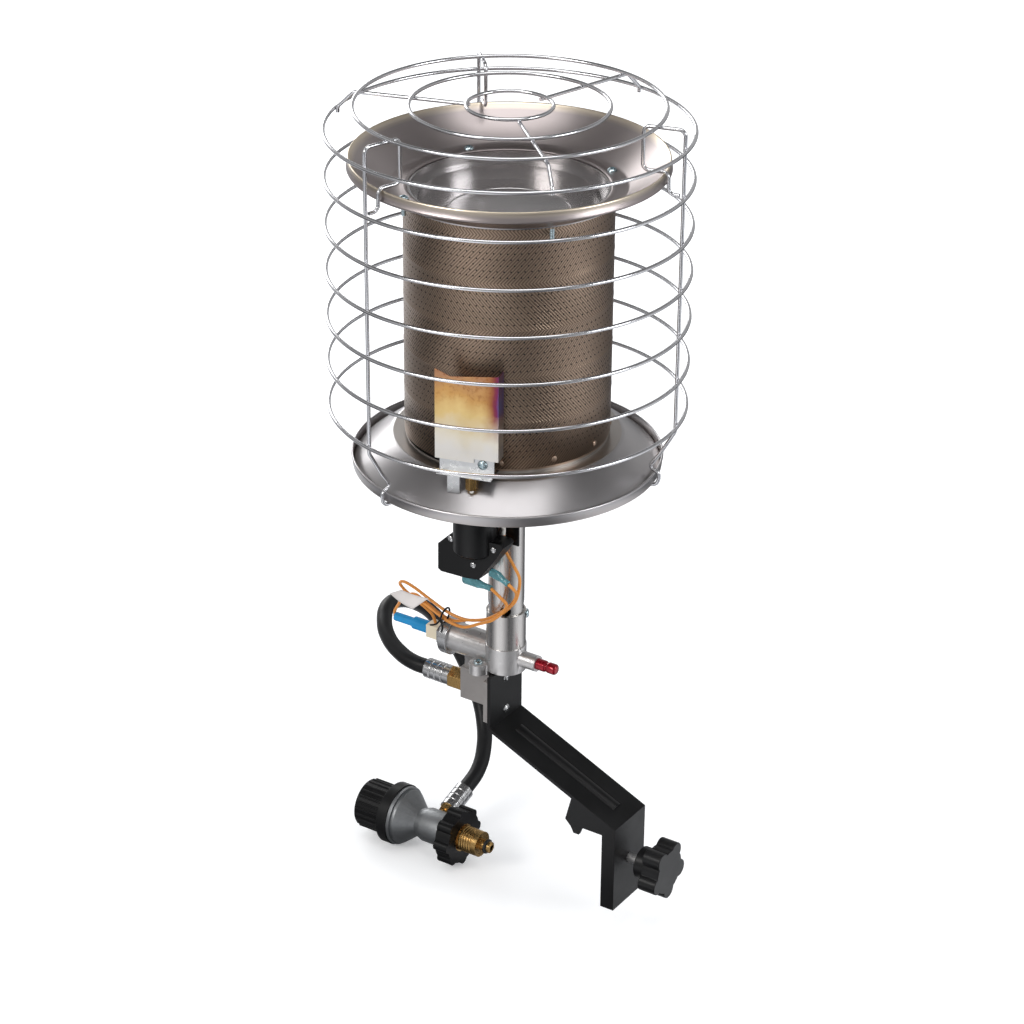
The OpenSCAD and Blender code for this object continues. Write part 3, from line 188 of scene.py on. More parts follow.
def length(name, description, size, low, high):
    """A setting for a length, from millimetres."""
    return FloatProperty(name=name, description=description, default=size * MM, min=low * MM, max=high * MM,
                         unit="LENGTH", precision=4)


def tone(name, description, code):
    """A setting for a colour."""
    return FloatVectorProperty(name=name, description=description, default=srgb(code), subtype="COLOR",
                               min=0, max=1)


class HeaterSizes(bpy.types.PropertyGroup):
    """Sizes that a user may change."""
    guard_wire: length("Guard wire", "Diameter of the guard's wire", 3, 2, 5)
    wire_bend: length("Wire bend", "Radius of the bends in the guard's wire", 5, 1, 12)
    wire_sides: IntProperty(
        name="Wire sides", description="Sides of the wire's section", default=14, min=6, max=32)
    hose_diameter: length("Hose diameter", "Outer diameter of the gas hose", 13.5, 9, 18)
    hose_length: length("Hose length", "Length of the hose between its ferrules", 348, 200, 600)
    lead_diameter: length("Lead diameter", "Outer diameter of the leads", 2.6, 1.5, 4)
    seam_pitch: length("Seam pitch", "Distance between the seams of the burner's screen", 38, 20, 60)
    seam_rise: length("Seam rise", "How far a seam stands out of the screen", 0.25, 0.1, 1.4)
    hole_pitch: length("Hole pitch", "Distance between the screen's punched holes", 5.2, 3, 10)
    hole_diameter: length("Hole diameter", "Diameter of the screen's punched holes", 1.3, 0.4, 3)
    edge_round: length("Edge rounding", "Rounding on the edges of cast and moulded pieces", 0.5, 0.1, 2)


class HeaterColours(bpy.types.PropertyGroup):
    """Colours that a user may change."""
    wire: tone("Guard wire", "Colour of the plated wire", "#d9d9dc")
    sheet: tone("Reflector sheet", "Colour of the polished reflectors", "#a9a09f")
    screen: tone("Burner screen", "Colour of the heat-tinted screen", "#b9a18d")
    leads: tone("Leads", "Colour of the leads' insulation", "#d08532")
    sleeves: tone("Terminal sleeves", "Colour of the clear sleeves on the terminals", "#86ccd6")
    button: tone("Safety button", "Colour of the safety button", "#94081f")
    plastic: tone("Black parts", "Colour of the black moulded and painted parts", "#09090a")


class Nodes:
    """A shader tree that is built step by step."""

    def __init__(self, tree):
        self.nodes = tree.nodes
        self.links = tree.links

    def add(self, kind, *feeds, **settings):
        made = self.nodes.new(kind)
        for key, value in settings.items():
            setattr(made, key, value)
        for i, value in enumerate(feeds):
            self.feed(made.inputs[i], value)
        return made

    def feed(self, socket, value):
        if value is None:
            return
        if isinstance(value, bpy.types.NodeSocket):
            self.links.new(value, socket)
        else:
            socket.default_value = value

    def math(self, operation, a, b=None):
        return self.add("ShaderNodeMath", a, b, operation=operation).outputs[0]

    def band(self, value, low, high, out_low=0.0, out_high=1.0):
        made = self.add("ShaderNodeMapRange", value)
        made.inputs["From Min"].default_value = low
        made.inputs["From Max"].default_value = high
        made.inputs["To Min"].default_value = out_low
        made.inputs["To Max"].default_value = out_high
        made.clamp = True
        return made.outputs[0]

    def ramp(self, value, stops):
        made = self.add("ShaderNodeValToRGB", value)
        strip = made.color_ramp
        while len(strip.elements) < len(stops):
            strip.elements.new(0.5)
        for element, (place, colour) in zip(strip.elements, stops):
            element.position = place
            element.color = (*colour, 1)
        return made.outputs["Color"]

    def mix(self, share, a, b):
        made = self.add("ShaderNodeMix", data_type="RGBA")
        self.feed(made.inputs[0], share)
        for socket, value in ((made.inputs[6], a), (made.inputs[7], b)):
            self.feed(socket, (*value, 1) if not isinstance(value, bpy.types.NodeSocket) else value)
        return made.outputs[2]


class Finish(Nodes):
    """A material whose textures read places on the object."""

    def __init__(self, name, colour, roughness, metallic=0.0):
        self.material = bpy.data.materials.new(name)
        self.material.use_nodes = True
        super().__init__(self.material.node_tree)
        self.shader = self.nodes["Principled BSDF"]
        self.set("Base Color", (*colour, 1)).set("Roughness", roughness).set("Metallic", metallic)
        self.place = self.nodes.new("ShaderNodeTexCoord").outputs["Object"]

    def set(self, label, value):
        self.shader.inputs[label].default_value = value
        return self

    def noise(self, scale, detail=3.0, stretch=(1, 1, 1)):
        where = self.add("ShaderNodeMapping", self.place)
        where.inputs["Scale"].default_value = stretch
        made = self.add("ShaderNodeTexNoise")
        self.links.new(where.outputs[0], made.inputs["Vector"])
        made.inputs["Scale"].default_value = scale
        made.inputs["Detail"].default_value = detail
        return made.outputs["Fac"]

    def colour(self, value):
        self.feed(self.shader.inputs["Base Color"], value)
        return self

    def rough(self, value):
        self.feed(self.shader.inputs["Roughness"], value)
        return self

    def bump(self, height, strength=0.3, distance=0.0002):
        made = self.add("ShaderNodeBump")
        made.inputs["Strength"].default_value = strength
        made.inputs["Distance"].default_value = distance
        self.links.new(height, made.inputs["Height"])
        self.links.new(made.outputs[0], self.shader.inputs["Normal"])
        return self

    def parts(self, source=None):
        made = self.add("ShaderNodeSeparateXYZ", source or self.place)
        return made.outputs[0], made.outputs[1], made.outputs[2]

    def radius(self):
        """Distance from the burner's axis."""
        x, y, _ = self.parts()
        x = self.math("SUBTRACT", x, BURNER_X * MM)
        return self.math("SQRT", self.math("ADD", self.math("MULTIPLY", x, x), self.math("MULTIPLY", y, y)))


def grained_metal(name, colour, roughness, grain=350.0, depth=0.12, spread=0.08, stretch=(1, 1, 1)):
    """Metal whose colour, gloss and surface vary finely."""
    made = Finish(name, colour, roughness, 1.0)
    fine = made.noise(grain, 4, stretch)
    wide = made.noise(18, 2)
    darker = [c * 0.8 for c in colour]
    made.colour(made.mix(made.band(wide, 0.3, 0.75), colour, darker))
    made.rough(made.band(fine, 0.25, 0.75, roughness - spread, roughness + spread))
    return made.bump(fine, depth)


def moulded(name, colour, roughness, grain=900.0, depth=0.15):
    """Moulded plastic or paint with a fine grain and slight wear."""
    made = Finish(name, colour, roughness)
    fine = made.noise(grain, 2)
    wide = made.noise(25, 3)
    paler = [min(1, c * 1.35 + 0.004) for c in colour]
    made.colour(made.mix(made.band(wide, 0.4, 0.8), colour, paler))
    made.rough(made.band(wide, 0.3, 0.7, roughness - 0.06, roughness + 0.06))
    return made.bump(fine, depth, 0.0001)


def spun_sheet(name, colour, rim_colour, roughness, rim_tint_and_highlight_z):
    """Polished sheet with the fine rings of spinning and another colour in a band of height: heat tint at the
    top of the burner's foot, a painted highlight along the upper reflector's rim, a darker, browner rim on
    the pan.
    """
    made = Finish(name, colour, roughness, 1.0)
    rings = made.add("ShaderNodeTexNoise", noise_dimensions="1D")
    made.links.new(made.radius(), rings.inputs["W"])
    rings.inputs["Scale"].default_value = 1600
    rings.inputs["Detail"].default_value = 3
    fine = rings.outputs["Fac"]
    wide = made.noise(11, 3)
    _, _, z = made.parts()
    # The band of height lays the rim colour: heat tint on the foot, a painted highlight on the upper
    # reflector's rim
    tint_and_highlight = made.band(z, *rim_tint_and_highlight_z)
    shade = made.mix(made.band(wide, 0.35, 0.7), colour, [c * 0.82 for c in colour])
    made.colour(made.mix(tint_and_highlight, shade, rim_colour))
    made.rough(made.band(fine, 0.3, 0.7, roughness - 0.03, roughness + 0.03))
    return made.bump(fine, 0.02, 0.00002)


def perforated(name, colour, seam_pitch):
    """The screen: fine slanting ribs that change direction at each seam, with painted shade in the grooves
    between them.
    """
    rib_pitch = 0.0029
    made = Finish(name, colour, 0.36, 1.0)
    uv = made.add("ShaderNodeUVMap").outputs[0]
    u, v, _ = made.parts(uv)
    band = made.math("FLOOR", made.math("DIVIDE", v, seam_pitch))
    sign = made.math("SUBTRACT", made.math("MULTIPLY", made.math("PINGPONG", band, 1.0), 2.0), 1.0)
    slant = made.math("ADD", u, made.math("MULTIPLY", v, sign))
    ribs = made.math("SINE", made.math("MULTIPLY", slant, math.tau / rib_pitch))
    ribs = made.band(ribs, -0.7, 0.8)
    blotch = made.noise(14, 4)
    pale = made.mix(made.band(blotch, 0.3, 0.7), colour, [c * 0.72 for c in colour])
    # Painted shade: the grooves between the ribs are darkened to 0.38 of the screen's colour
    groove_shade = [c * 0.38 for c in colour]
    made.colour(made.mix(ribs, groove_shade, pale))
    made.rough(made.band(blotch, 0.3, 0.7, 0.27, 0.38))
    return made.bump(ribs, 0.5, 0.0003)


def heat_tinted(name):
    """The sensor's shield: grey low down, straw and gold above, purple and blue at its hot side."""
    made = Finish(name, srgb("#b9b3ab"), 0.34, 1.0)
    turn = math.radians(SENSOR_TURN)
    x, y, z = made.parts()
    along = made.math("ADD", made.math("MULTIPLY", made.math("SUBTRACT", x, BURNER_X * MM), -math.sin(turn)),
                      made.math("MULTIPLY", y, math.cos(turn)))
    cloud = made.noise(45, 4)
    wander = made.math("MULTIPLY", made.math("SUBTRACT", cloud, 0.5), 0.5)
    height = made.math("ADD", made.band(z, 0.350, 0.412), wander)
    rise = made.ramp(height, [
        (0.0, srgb("#d3cfc9")), (0.28, srgb("#ded3bb")), (0.5, srgb("#dcbf83")), (0.74, srgb("#c99a5e")),
        (1.0, srgb("#b98a68"))])
    side = made.math("ADD", made.band(along, 0.004, 0.0262), made.math("MULTIPLY", wander, 0.45))
    hot = made.ramp(side, [
        (0.45, srgb("#a8743f")), (0.72, srgb("#8d4a3a")), (0.88, srgb("#7a3357")), (1.0, srgb("#5b5f96"))])
    share = made.math("MULTIPLY", made.band(side, 0.35, 0.8), made.band(height, 0.12, 0.5))
    spots = made.band(made.noise(380, 4), 0.52, 0.68)
    rusty = made.math("MULTIPLY", spots, made.band(height, 0.55, 1.0, 0.0, 0.7))
    made.colour(made.mix(rusty, made.mix(share, rise, hot), srgb("#8f4f2e")))
    made.rough(made.band(cloud, 0.3, 0.7, 0.28, 0.42))
    return made.bump(made.noise(500, 3), 0.06)


def clear_sleeve(name, colour):
    """Clear tinted vinyl over the terminals."""
    made = Finish(name, colour, 0.1)
    made.set("Transmission Weight", 0.6).set("IOR", 1.45)
    cloud = made.noise(160, 2)
    made.colour(made.mix(made.band(cloud, 0.3, 0.7), colour, [c * 0.75 for c in colour]))
    return made.bump(cloud, 0.12, 0.0003)


def build_finishes(colours, seam_pitch):
    """Every material of the heater, by name."""
    steel = srgb("#c9c9ca")
    black = list(colours.plastic)
    sheet = list(colours.sheet)
    finishes = {
        "plated_wire": grained_metal("Plated wire", list(colours.wire), 0.16, 260, 0.05, 0.05),
        # The upper reflector's cream rim colour is a painted highlight along its rim
        "upper_sheet": spun_sheet("Upper reflector sheet", sheet, srgb("#e4d6bf"), 0.33, (0.5505, 0.5562)),
        "lower_sheet": spun_sheet("Lower reflector sheet", srgb("#bdbabb"), srgb("#b0a9a5"), 0.31,
                                  (0.3085, 0.2995)),
        "cap_sheet": spun_sheet("Burner cap sheet", srgb("#b9b6b6"), srgb("#b9b6b6"), 0.22, (0.6, 0.61)),
        "tan_sheet": spun_sheet(
            "Heat-tinted foot sheet", srgb("#b9b3ae"), srgb("#a58f7e"), 0.34, (0.3285, 0.3295)),
        "screen": perforated("Burner screen", list(colours.screen), seam_pitch),
        "inner_screen": grained_metal("Inner screen", srgb("#5c5048"), 0.6, 700, 0.4),
        "hole": moulded("Punched hole shade", srgb("#120d0a"), 0.8),
        "tube": grained_metal("Burner tube steel", srgb("#d0cdca"), 0.26, 60, 0.1, 0.12, (9, 9, 0.25)),
        "tinted": heat_tinted("Heat-tinted shield"),
        "zinc": grained_metal("Zinc-plated screws", srgb("#bfd0d6"), 0.24, 500),
        "bright": grained_metal("Bright steel", steel, 0.2, 400, 0.06),
        "plate": grained_metal("Bright plated strip", srgb("#c6c7c8"), 0.3, 300, 0.1),
        "brass": grained_metal("Turned brass", srgb("#c19c63"), 0.26, 300, 0.1, stretch=(6, 1, 1)),
        "cast": grained_metal("Die-cast alloy", srgb("#d2d0cf"), 0.36, 240, 0.9, 0.12),
        "dull_cast": grained_metal("Dull die-cast alloy", srgb("#aaa5a2"), 0.42, 200, 1.0, 0.14),
        "rough_cast": grained_metal("Grey cast housing", srgb("#97999b"), 0.48, 380, 0.6, 0.12),
        "paint": moulded("Black powder paint", [c * 0.9 for c in black], 0.42, 520, 0.3),
        "plastic": moulded("Black moulded plastic", black, 0.4, 700, 0.18),
        "satin": moulded("Black satin knob", [c * 1.1 for c in black], 0.34, 900, 0.12),
        "rubber": moulded("Black hose rubber", srgb("#131314"), 0.42, 1200, 0.2),
        "seal": moulded("Seal rubber", srgb("#161616"), 0.6, 800, 0.2),
        "button": moulded("Glossy red button", list(colours.button), 0.2, 60, 0.02),
        "lead": moulded("Lead insulation", list(colours.leads), 0.42, 900, 0.12),
        "white_sleeve": moulded("Woven white sleeve", srgb("#e6e2da"), 0.7, 1500, 0.5),
        "sleeve": clear_sleeve("Clear terminal sleeve", list(colours.sleeves)),
        "blue": moulded("Terminal sleeve", srgb("#1c86bd"), 0.22, 90, 0.1),
        "beige": moulded("Beige insulating block", srgb("#d9cdb4"), 0.5, 500, 0.15),
        "paper": moulded("Plain paper tag", srgb("#cfc9c5"), 0.75, 1400, 0.25),
        "diaphragm": moulded("Coated diaphragm", srgb("#5a3a2a"), 0.6),
    }
    finishes["button"].set("Coat Weight", 0.5).set("Metallic", 0.6)
    for key in ("cast", "dull_cast"):
        finishes[key].set("Metallic", 0.85)
    for key in ("paint", "plastic", "satin", "rubber"):
        finishes[key].set("Specular IOR Level", 0.27)
    return {key: made.material for key, made in finishes.items()}


FINISHES = {}


def finish(key):
    """One of the heater's materials."""
    return FINISHES[key]


class Recipe:
    """One Geometry Nodes tree with named inputs."""

    def __init__(self, name, *inputs):
        self.tree = bpy.data.node_groups.new(name, "GeometryNodeTree")
        face = self.tree.interface
        face.new_socket(name="Geometry", in_out="INPUT", socket_type="NodeSocketGeometry")
        self.keys = {}
        for label, kind, default in (*inputs, ("Finish", "Material", None)):
            socket = face.new_socket(name=label, in_out="INPUT", socket_type="NodeSocket" + kind)
            if default is not None:
                socket.default_value = default
            self.keys[label] = socket.identifier
        face.new_socket(name="Geometry", in_out="OUTPUT", socket_type="NodeSocketGeometry")
        self.start = self.tree.nodes.new("NodeGroupInput")
        self.end = self.tree.nodes.new("NodeGroupOutput")

    def get(self, label):
        return self.start.outputs[label]

    def node(self, kind, feeds=(), **settings):
        made = self.tree.nodes.new(kind)
        for key, value in settings.items():
            setattr(made, key, value)
        for key, value in dict(feeds).items():
            if isinstance(value, bpy.types.NodeSocket):
                self.tree.links.new(value, made.inputs[key])
            else:
                made.inputs[key].default_value = value
        return made

    def out(self, kind, feeds=(), **settings):
        return self.node(kind, feeds, **settings).outputs[0]

    def math(self, operation, a, b=0.0):
        return self.out("ShaderNodeMath", {0: a, 1: b}, operation=operation)

    def xyz(self, x=0.0, y=0.0, z=0.0):
        return self.out("ShaderNodeCombineXYZ", {0: x, 1: y, 2: z})

    def moved(self, shape, **how):
        return self.out("GeometryNodeTransform", {"Geometry": shape, **how})

    def wire(self, curve, radius, sides):
        """Round wire along a curve, with smooth sides and closed ends."""
        section = self.out("GeometryNodeCurvePrimitiveCircle", {"Resolution": sides, "Radius": radius})
        return self.out("GeometryNodeCurveToMesh", {
            "Curve": curve, "Profile Curve": section, "Fill Caps": True})

    def close(self, shape, smooth=True):
        shape = self.out("GeometryNodeRealizeInstances", {0: shape})
        shape = self.out("GeometryNodeSetShadeSmooth", {"Geometry": shape, "Shade Smooth": smooth})
        shape = self.out("GeometryNodeSetMaterial", {"Geometry": shape, "Material": self.get("Finish")})
        self.tree.links.new(shape, self.end.inputs[0])
        return self

    def make(self, name, base, **values):
        """Runs the tree on a base mesh and returns the plain result."""
        holder = bpy.data.objects.new(name + "_base", base)
        bpy.context.scene.collection.objects.link(holder)
        grower = holder.modifiers.new("Recipe", "NODES")
        grower.node_group = self.tree
        for label, value in values.items():
            grower[self.keys[label.replace("_", " ")]] = value
        result = bpy.data.meshes.new_from_object(holder.evaluated_get(bpy.context.evaluated_depsgraph_get()))
        bpy.data.objects.remove(holder)
        return shown(name, result)


def shown(name, mesh, material=None):
    """Puts a mesh into the scene as a piece at the origin."""
    mesh.name = name
    piece = bpy.data.objects.new(name, mesh)
    bpy.context.scene.collection.objects.link(piece)
    if material is not None:
        mesh.materials.clear()
        mesh.materials.append(material)
    return piece


def plain_mesh(name, bm):
    """A mesh from a bmesh, which is freed."""
    mesh = bpy.data.meshes.new(name)
    bm.to_mesh(mesh)
    bm.free()
    return mesh


def path_mesh(name, paths, closed=False):
    """Edges along each path, in metres."""
    mesh = bpy.data.meshes.new(name)
    points, edges = [], []
    for path in paths:
        first = len(points)
        points += [tuple(p) for p in path]
        edges += [(first + i, first + i + 1) for i in range(len(path) - 1)]
        if closed:
            edges.append((first + len(path) - 1, first))
    mesh.from_pydata(points, edges, [])
    return mesh


def point_mesh(name, points, **attributes):
    """Loose points that carry values for a recipe."""
    mesh = bpy.data.meshes.new(name)
    mesh.from_pydata([tuple(p) for p in points], [], [])
    for key, values in attributes.items():
        kind = "FLOAT_VECTOR" if isinstance(values[0], Vector) else "FLOAT"
        layer = mesh.attributes.new(key, kind, "POINT")
        for item, value in zip(layer.data, values):
            if kind == "FLOAT":
                item.value = value
            else:
                item.vector = value
    return mesh


def bent_wire_recipe():
    """Stiff round wire along edges, with rounded bends."""
    made = Recipe("Bent wire", ("Radius", "Float", 0.0015), ("Bend", "Float", 0.005), ("Sides", "Int", 14))
    curve = made.out("GeometryNodeMeshToCurve", {0: made.get("Geometry")})
    curve = made.out("GeometryNodeFilletCurve", {
        "Curve": curve, "Radius": made.get("Bend"), "Limit Radius": True, "Count": 8}, mode="POLY")
    return made.close(made.wire(curve, made.get("Radius"), made.get("Sides")))


def soft_wire_recipe():
    """Soft round wire that runs smoothly through its points."""
    made = Recipe("Soft lead", ("Radius", "Float", 0.0013), ("Sides", "Int", 12))
    curve = made.out("GeometryNodeMeshToCurve", {0: made.get("Geometry")})
    curve = made.out("GeometryNodeCurveSplineType", {"Curve": curve}, spline_type="CATMULL_ROM")
    curve = made.out("GeometryNodeSetSplineResolution", {0: curve, "Resolution": 8})
    return made.close(made.wire(curve, made.get("Radius"), made.get("Sides")))


def ring_recipe():
    """Level rings of round wire, each round its own point."""
    made = Recipe(
        "Rings on an axis", ("Radius", "Float", 0.0015), ("Sides", "Int", 14), ("Steps", "Int", 180))
    size = made.out("GeometryNodeInputNamedAttribute", {"Name": "ring_radius"})
    circle = made.out("GeometryNodeCurvePrimitiveCircle", {"Resolution": made.get("Steps"), "Radius": 1.0})
    rings = made.out("GeometryNodeInstanceOnPoints", {
        "Points": made.get("Geometry"), "Instance": circle, "Scale": size})
    rings = made.out("GeometryNodeRealizeInstances", {0: rings})
    return made.close(made.wire(rings, made.get("Radius"), made.get("Sides")))


def spring_recipe():
    """A coil of round wire that lies along X."""
    made = Recipe("Coil spring", ("Wire", "Float", 0.0004), ("Coil", "Float", 0.0034),
                  ("Length", "Float", 0.01), ("Turns", "Float", 5.0), ("Start", "Vector", (0, 0, 0)))
    coil = made.out("GeometryNodeCurveSpiral", {
        "Resolution": 28, "Rotations": made.get("Turns"), "Start Radius": made.get("Coil"),
        "End Radius": made.get("Coil"), "Height": made.get("Length")})
    coil = made.moved(coil, Rotation=(0, math.pi / 2, 0), Translation=made.get("Start"))
    return made.close(made.wire(coil, made.get("Wire"), 8))


def fastener_recipe(crossed):
    """Domed heads with threaded shanks on points; a rivet has neither recess nor thread."""
    made = Recipe("Crossed screws" if crossed else "Rivets", ("Head radius", "Float", 0.004),
                  ("Head height", "Float", 0.0024), ("Shank radius", "Float", 0.002),
                  ("Shank length", "Float", 0.01))
    head_r, head_h = made.get("Head radius"), made.get("Head height")
    ball = made.out("GeometryNodeMeshUVSphere", {"Segments": 28, "Rings": 16, "Radius": 1.0})
    ball = made.moved(ball, Scale=made.xyz(head_r, head_r, head_h))
    under = made.out("GeometryNodeMeshCube", {"Size": (0.05, 0.05, 0.05)})
    cuts = [made.moved(under, Translation=(0, 0, -0.025))]
    if crossed:
        long = made.math("MULTIPLY", head_r, 1.15)
        slim = made.math("MULTIPLY", head_r, 0.27)
        deep = made.math("MULTIPLY", head_h, 0.9)
        for size in (made.xyz(long, slim, deep), made.xyz(slim, long, deep)):
            bar = made.out("GeometryNodeMeshCube", {"Size": size})
            cuts.append(made.moved(bar, Translation=made.xyz(0, 0, head_h)))
    head = made.node("GeometryNodeMeshBoolean", operation="DIFFERENCE", solver="EXACT")
    made.tree.links.new(ball, head.inputs["Mesh 1"])
    for piece in cuts:
        made.tree.links.new(piece, head.inputs["Mesh 2"])
    shank = made.out("GeometryNodeMeshCylinder", {
        "Vertices": 16, "Side Segments": 24, "Fill Segments": 1, "Radius": made.get("Shank radius"),
        "Depth": made.get("Shank length")})
    if crossed:
        half_pitch, taper = 0.0004, -260.0
        z = made.node("ShaderNodeSeparateXYZ", {0: made.out("GeometryNodeInputPosition")}).outputs[2]
        swell = made.math("MULTIPLY", made.math("PINGPONG", z, half_pitch), taper)
        swell = made.math("ADD", swell, 1.0)
        place = made.out("ShaderNodeVectorMath", {0: made.out("GeometryNodeInputPosition"),
                                                  1: made.xyz(swell, swell, 1.0)}, operation="MULTIPLY")
        shank = made.out("GeometryNodeSetPosition", {"Geometry": shank, "Position": place})
    half = made.math("MULTIPLY", made.get("Shank length"), -0.5)
    shank = made.moved(shank, Translation=made.xyz(0, 0, half))
    both = made.node("GeometryNodeJoinGeometry")
    made.tree.links.new(head.outputs[0], both.inputs[0])
    made.tree.links.new(shank, both.inputs[0])
    facing = made.out("GeometryNodeInputNamedAttribute", {"Name": "facing"}, data_type="FLOAT_VECTOR")
    turn = made.out("FunctionNodeAlignRotationToVector", {"Vector": facing}, axis="Z")
    placed = made.out("GeometryNodeInstanceOnPoints", {
        "Points": made.get("Geometry"), "Instance": both.outputs[0], "Rotation": turn})
    return made.close(placed, smooth=False)


def hole_shade_recipe():
    """Rows of small dark discs round the screen, painted shade that stands for punched holes; each row is
    shifted by half a step.
    """
    made = Recipe("Punched holes", ("Count", "Int", 98), ("Rows", "Int", 38), ("Radius", "Float", 0.081),
                  ("Hole", "Float", 0.00065), ("Low", "Float", 0.34), ("High", "Float", 0.52))
    grid = made.out("GeometryNodeMeshGrid", {
        "Size X": 1.0, "Size Y": 1.0, "Vertices X": made.get("Count"), "Vertices Y": made.get("Rows")})
    split = made.node("ShaderNodeSeparateXYZ", {0: made.out("GeometryNodeInputPosition")})
    share = made.math("ADD", split.outputs[0], 0.5)
    rows = made.math("SUBTRACT", made.get("Rows"), 1.0)
    row = made.math("ROUND", made.math("MULTIPLY", made.math("ADD", split.outputs[1], 0.5), rows))
    odd = made.math("MULTIPLY", made.math("PINGPONG", row, 1.0), 0.5)
    count = made.get("Count")
    fair = made.math("DIVIDE", made.math("SUBTRACT", count, 1.0), count)
    turn = made.math("ADD", made.math("MULTIPLY", share, fair), made.math("DIVIDE", odd, count))
    angle = made.math("MULTIPLY", turn, math.tau)
    across, ahead = made.math("COSINE", angle), made.math("SINE", angle)
    rise = made.math("SUBTRACT", made.get("High"), made.get("Low"))
    z = made.math("ADD", made.math("MULTIPLY", made.math("DIVIDE", row, rows), rise), made.get("Low"))
    place = made.xyz(made.math("ADD", made.math("MULTIPLY", across, made.get("Radius")), BURNER_X * MM),
                     made.math("MULTIPLY", ahead, made.get("Radius")), z)
    outward = made.node("GeometryNodeCaptureAttribute")
    outward.capture_items.new("VECTOR", "Outward")
    made.tree.links.new(grid, outward.inputs["Geometry"])
    made.tree.links.new(made.xyz(across, ahead, 0.0), outward.inputs["Outward"])
    points = made.out("GeometryNodeSetPosition", {"Geometry": outward.outputs["Geometry"], "Position": place})
    dot = made.out("GeometryNodeMeshCircle", {"Vertices": 8, "Radius": made.get("Hole")}, fill_type="NGON")
    turn = made.out("FunctionNodeAlignRotationToVector", {"Vector": outward.outputs["Outward"]}, axis="Z")
    dots = made.out("GeometryNodeInstanceOnPoints", {"Points": points, "Instance": dot, "Rotation": turn})
    return made.close(dots, smooth=False)


RECIPES = {}


def recipe(key):
    """A recipe, built when it is first asked for."""
    builders = {
        "bent": bent_wire_recipe, "soft": soft_wire_recipe, "rings": ring_recipe, "spring": spring_recipe,
        "holes": hole_shade_recipe, "screws": lambda: fastener_recipe(True),
        "rivets": lambda: fastener_recipe(False),
    }
    if key not in RECIPES:
        RECIPES[key] = builders[key]()
    return RECIPES[key]


def on_plane(pairs, turn_degrees):
    """Radius and height pairs on an upright plane through the burner's axis."""
    turn = math.radians(turn_degrees)
    return metres([(BURNER_X + r * math.cos(turn), r * math.sin(turn), z) for r, z in pairs])


def outward(turn_degrees):
    """The level direction of a turn round the burner's axis."""
    turn = math.radians(turn_degrees)
    return Vector((math.cos(turn), math.sin(turn), 0))


def spun(name, profile, material):
    """A sheet turned round the burner's axis, from radius and height pairs."""
    steps = 256
    bm = bmesh.new()
    layer = bm.loops.layers.uv.new("UVMap")
    rings = []
    for r, z in profile:
        rings.append([bm.verts.new(Vector((
            (BURNER_X + r * math.cos(math.tau * k / steps)) * MM,
            r * math.sin(math.tau * k / steps) * MM, z * MM))) for k in range(steps)])
    reach = [0.0]
    for (r0, z0), (r1, z1) in zip(profile, profile[1:]):
        reach.append(reach[-1] + math.hypot(r1 - r0, z1 - z0) * MM)
    widest = max(r for r, _ in profile) * MM
    for j in range(len(profile) - 1):
        for k in range(steps):
            n = (k + 1) % steps
            face = bm.faces.new((rings[j][k], rings[j][n], rings[j + 1][n], rings[j + 1][k]))
            face.smooth = True
            for loop, (step, row) in zip(face.loops, ((k, j), (k + 1, j), (k + 1, j + 1), (k, j + 1))):
                loop[layer].uv = (step / steps * math.tau * widest, reach[row])
    return shown(name, plain_mesh(name, bm), material)


def settle(piece):
    """Turns a piece with modifiers into a plain mesh."""
    result = bpy.data.meshes.new_from_object(piece.evaluated_get(bpy.context.evaluated_depsgraph_get()))
    piece.modifiers.clear()
    piece.data = result


def thicken(piece, thickness, offset):
    """Gives a sheet its wall, in millimetres."""
    wall = piece.modifiers.new("Wall", "SOLIDIFY")
    wall.thickness = thickness * MM
    wall.offset = offset
    settle(piece)


def softened(node, key, width):
    """A copy of a solid with its edges rounded, in its own finish."""
    sharp, nearly_flat, touching = math.radians(38), math.radians(0.6), 2e-6
    source = frame["nodes"][node]
    bm = bmesh.new()
    bm.from_mesh(source.data)
    bmesh.ops.remove_doubles(bm, verts=bm.verts, dist=touching)
    bmesh.ops.dissolve_limit(
        bm, angle_limit=nearly_flat, verts=bm.verts, edges=bm.edges, delimit={"NORMAL"})
    mesh = plain_mesh(node, bm)
    piece = shown(node + "_piece", mesh, finish(key))
    mesh.shade_smooth()
    mesh.set_sharp_from_angle(angle=sharp)
    rounding = piece.modifiers.new("Rounding", "BEVEL")
    rounding.width = width
    rounding.segments = 2
    rounding.limit_method = "ANGLE"
    rounding.angle_limit = sharp
    rounding.harden_normals = True
    settle(piece)
    piece.data.name = piece.name
    bpy.data.meshes.remove(mesh)
    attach(piece, body_of(source)[0])
    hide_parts(node)
    return piece


def placed(piece, body, *nodes):
    """Lets a piece ride on a body and stand for the solids that it replaces."""
    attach(piece, body)
    if nodes:
        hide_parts(*nodes)
    return piece


def loft(name, sections, material):
    """A closed skin over a row of equal rings of points."""
    bm = bmesh.new()
    rings = [[bm.verts.new(p) for p in section] for section in sections]
    count = len(sections[0])
    for lower, upper in zip(rings, rings[1:]):
        for k in range(count):
            n = (k + 1) % count
            bm.faces.new((lower[k], lower[n], upper[n], upper[k])).smooth = True
    bm.faces.new(list(reversed(rings[0])))
    bm.faces.new(rings[-1])
    bmesh.ops.recalc_face_normals(bm, faces=bm.faces)
    return shown(name, plain_mesh(name, bm), material)


def oval(centre, along, wide, tall):
    """A ring of points round a place, flattened towards the vertical."""
    count = 16
    along = along.normalized()
    side = Vector((0, 1, 0)).cross(along).normalized()
    front = along.cross(side)
    turns = [math.tau * k / count for k in range(count)]
    return [centre + side * (math.cos(turn) * wide) + front * (math.sin(turn) * tall) for turn in turns]


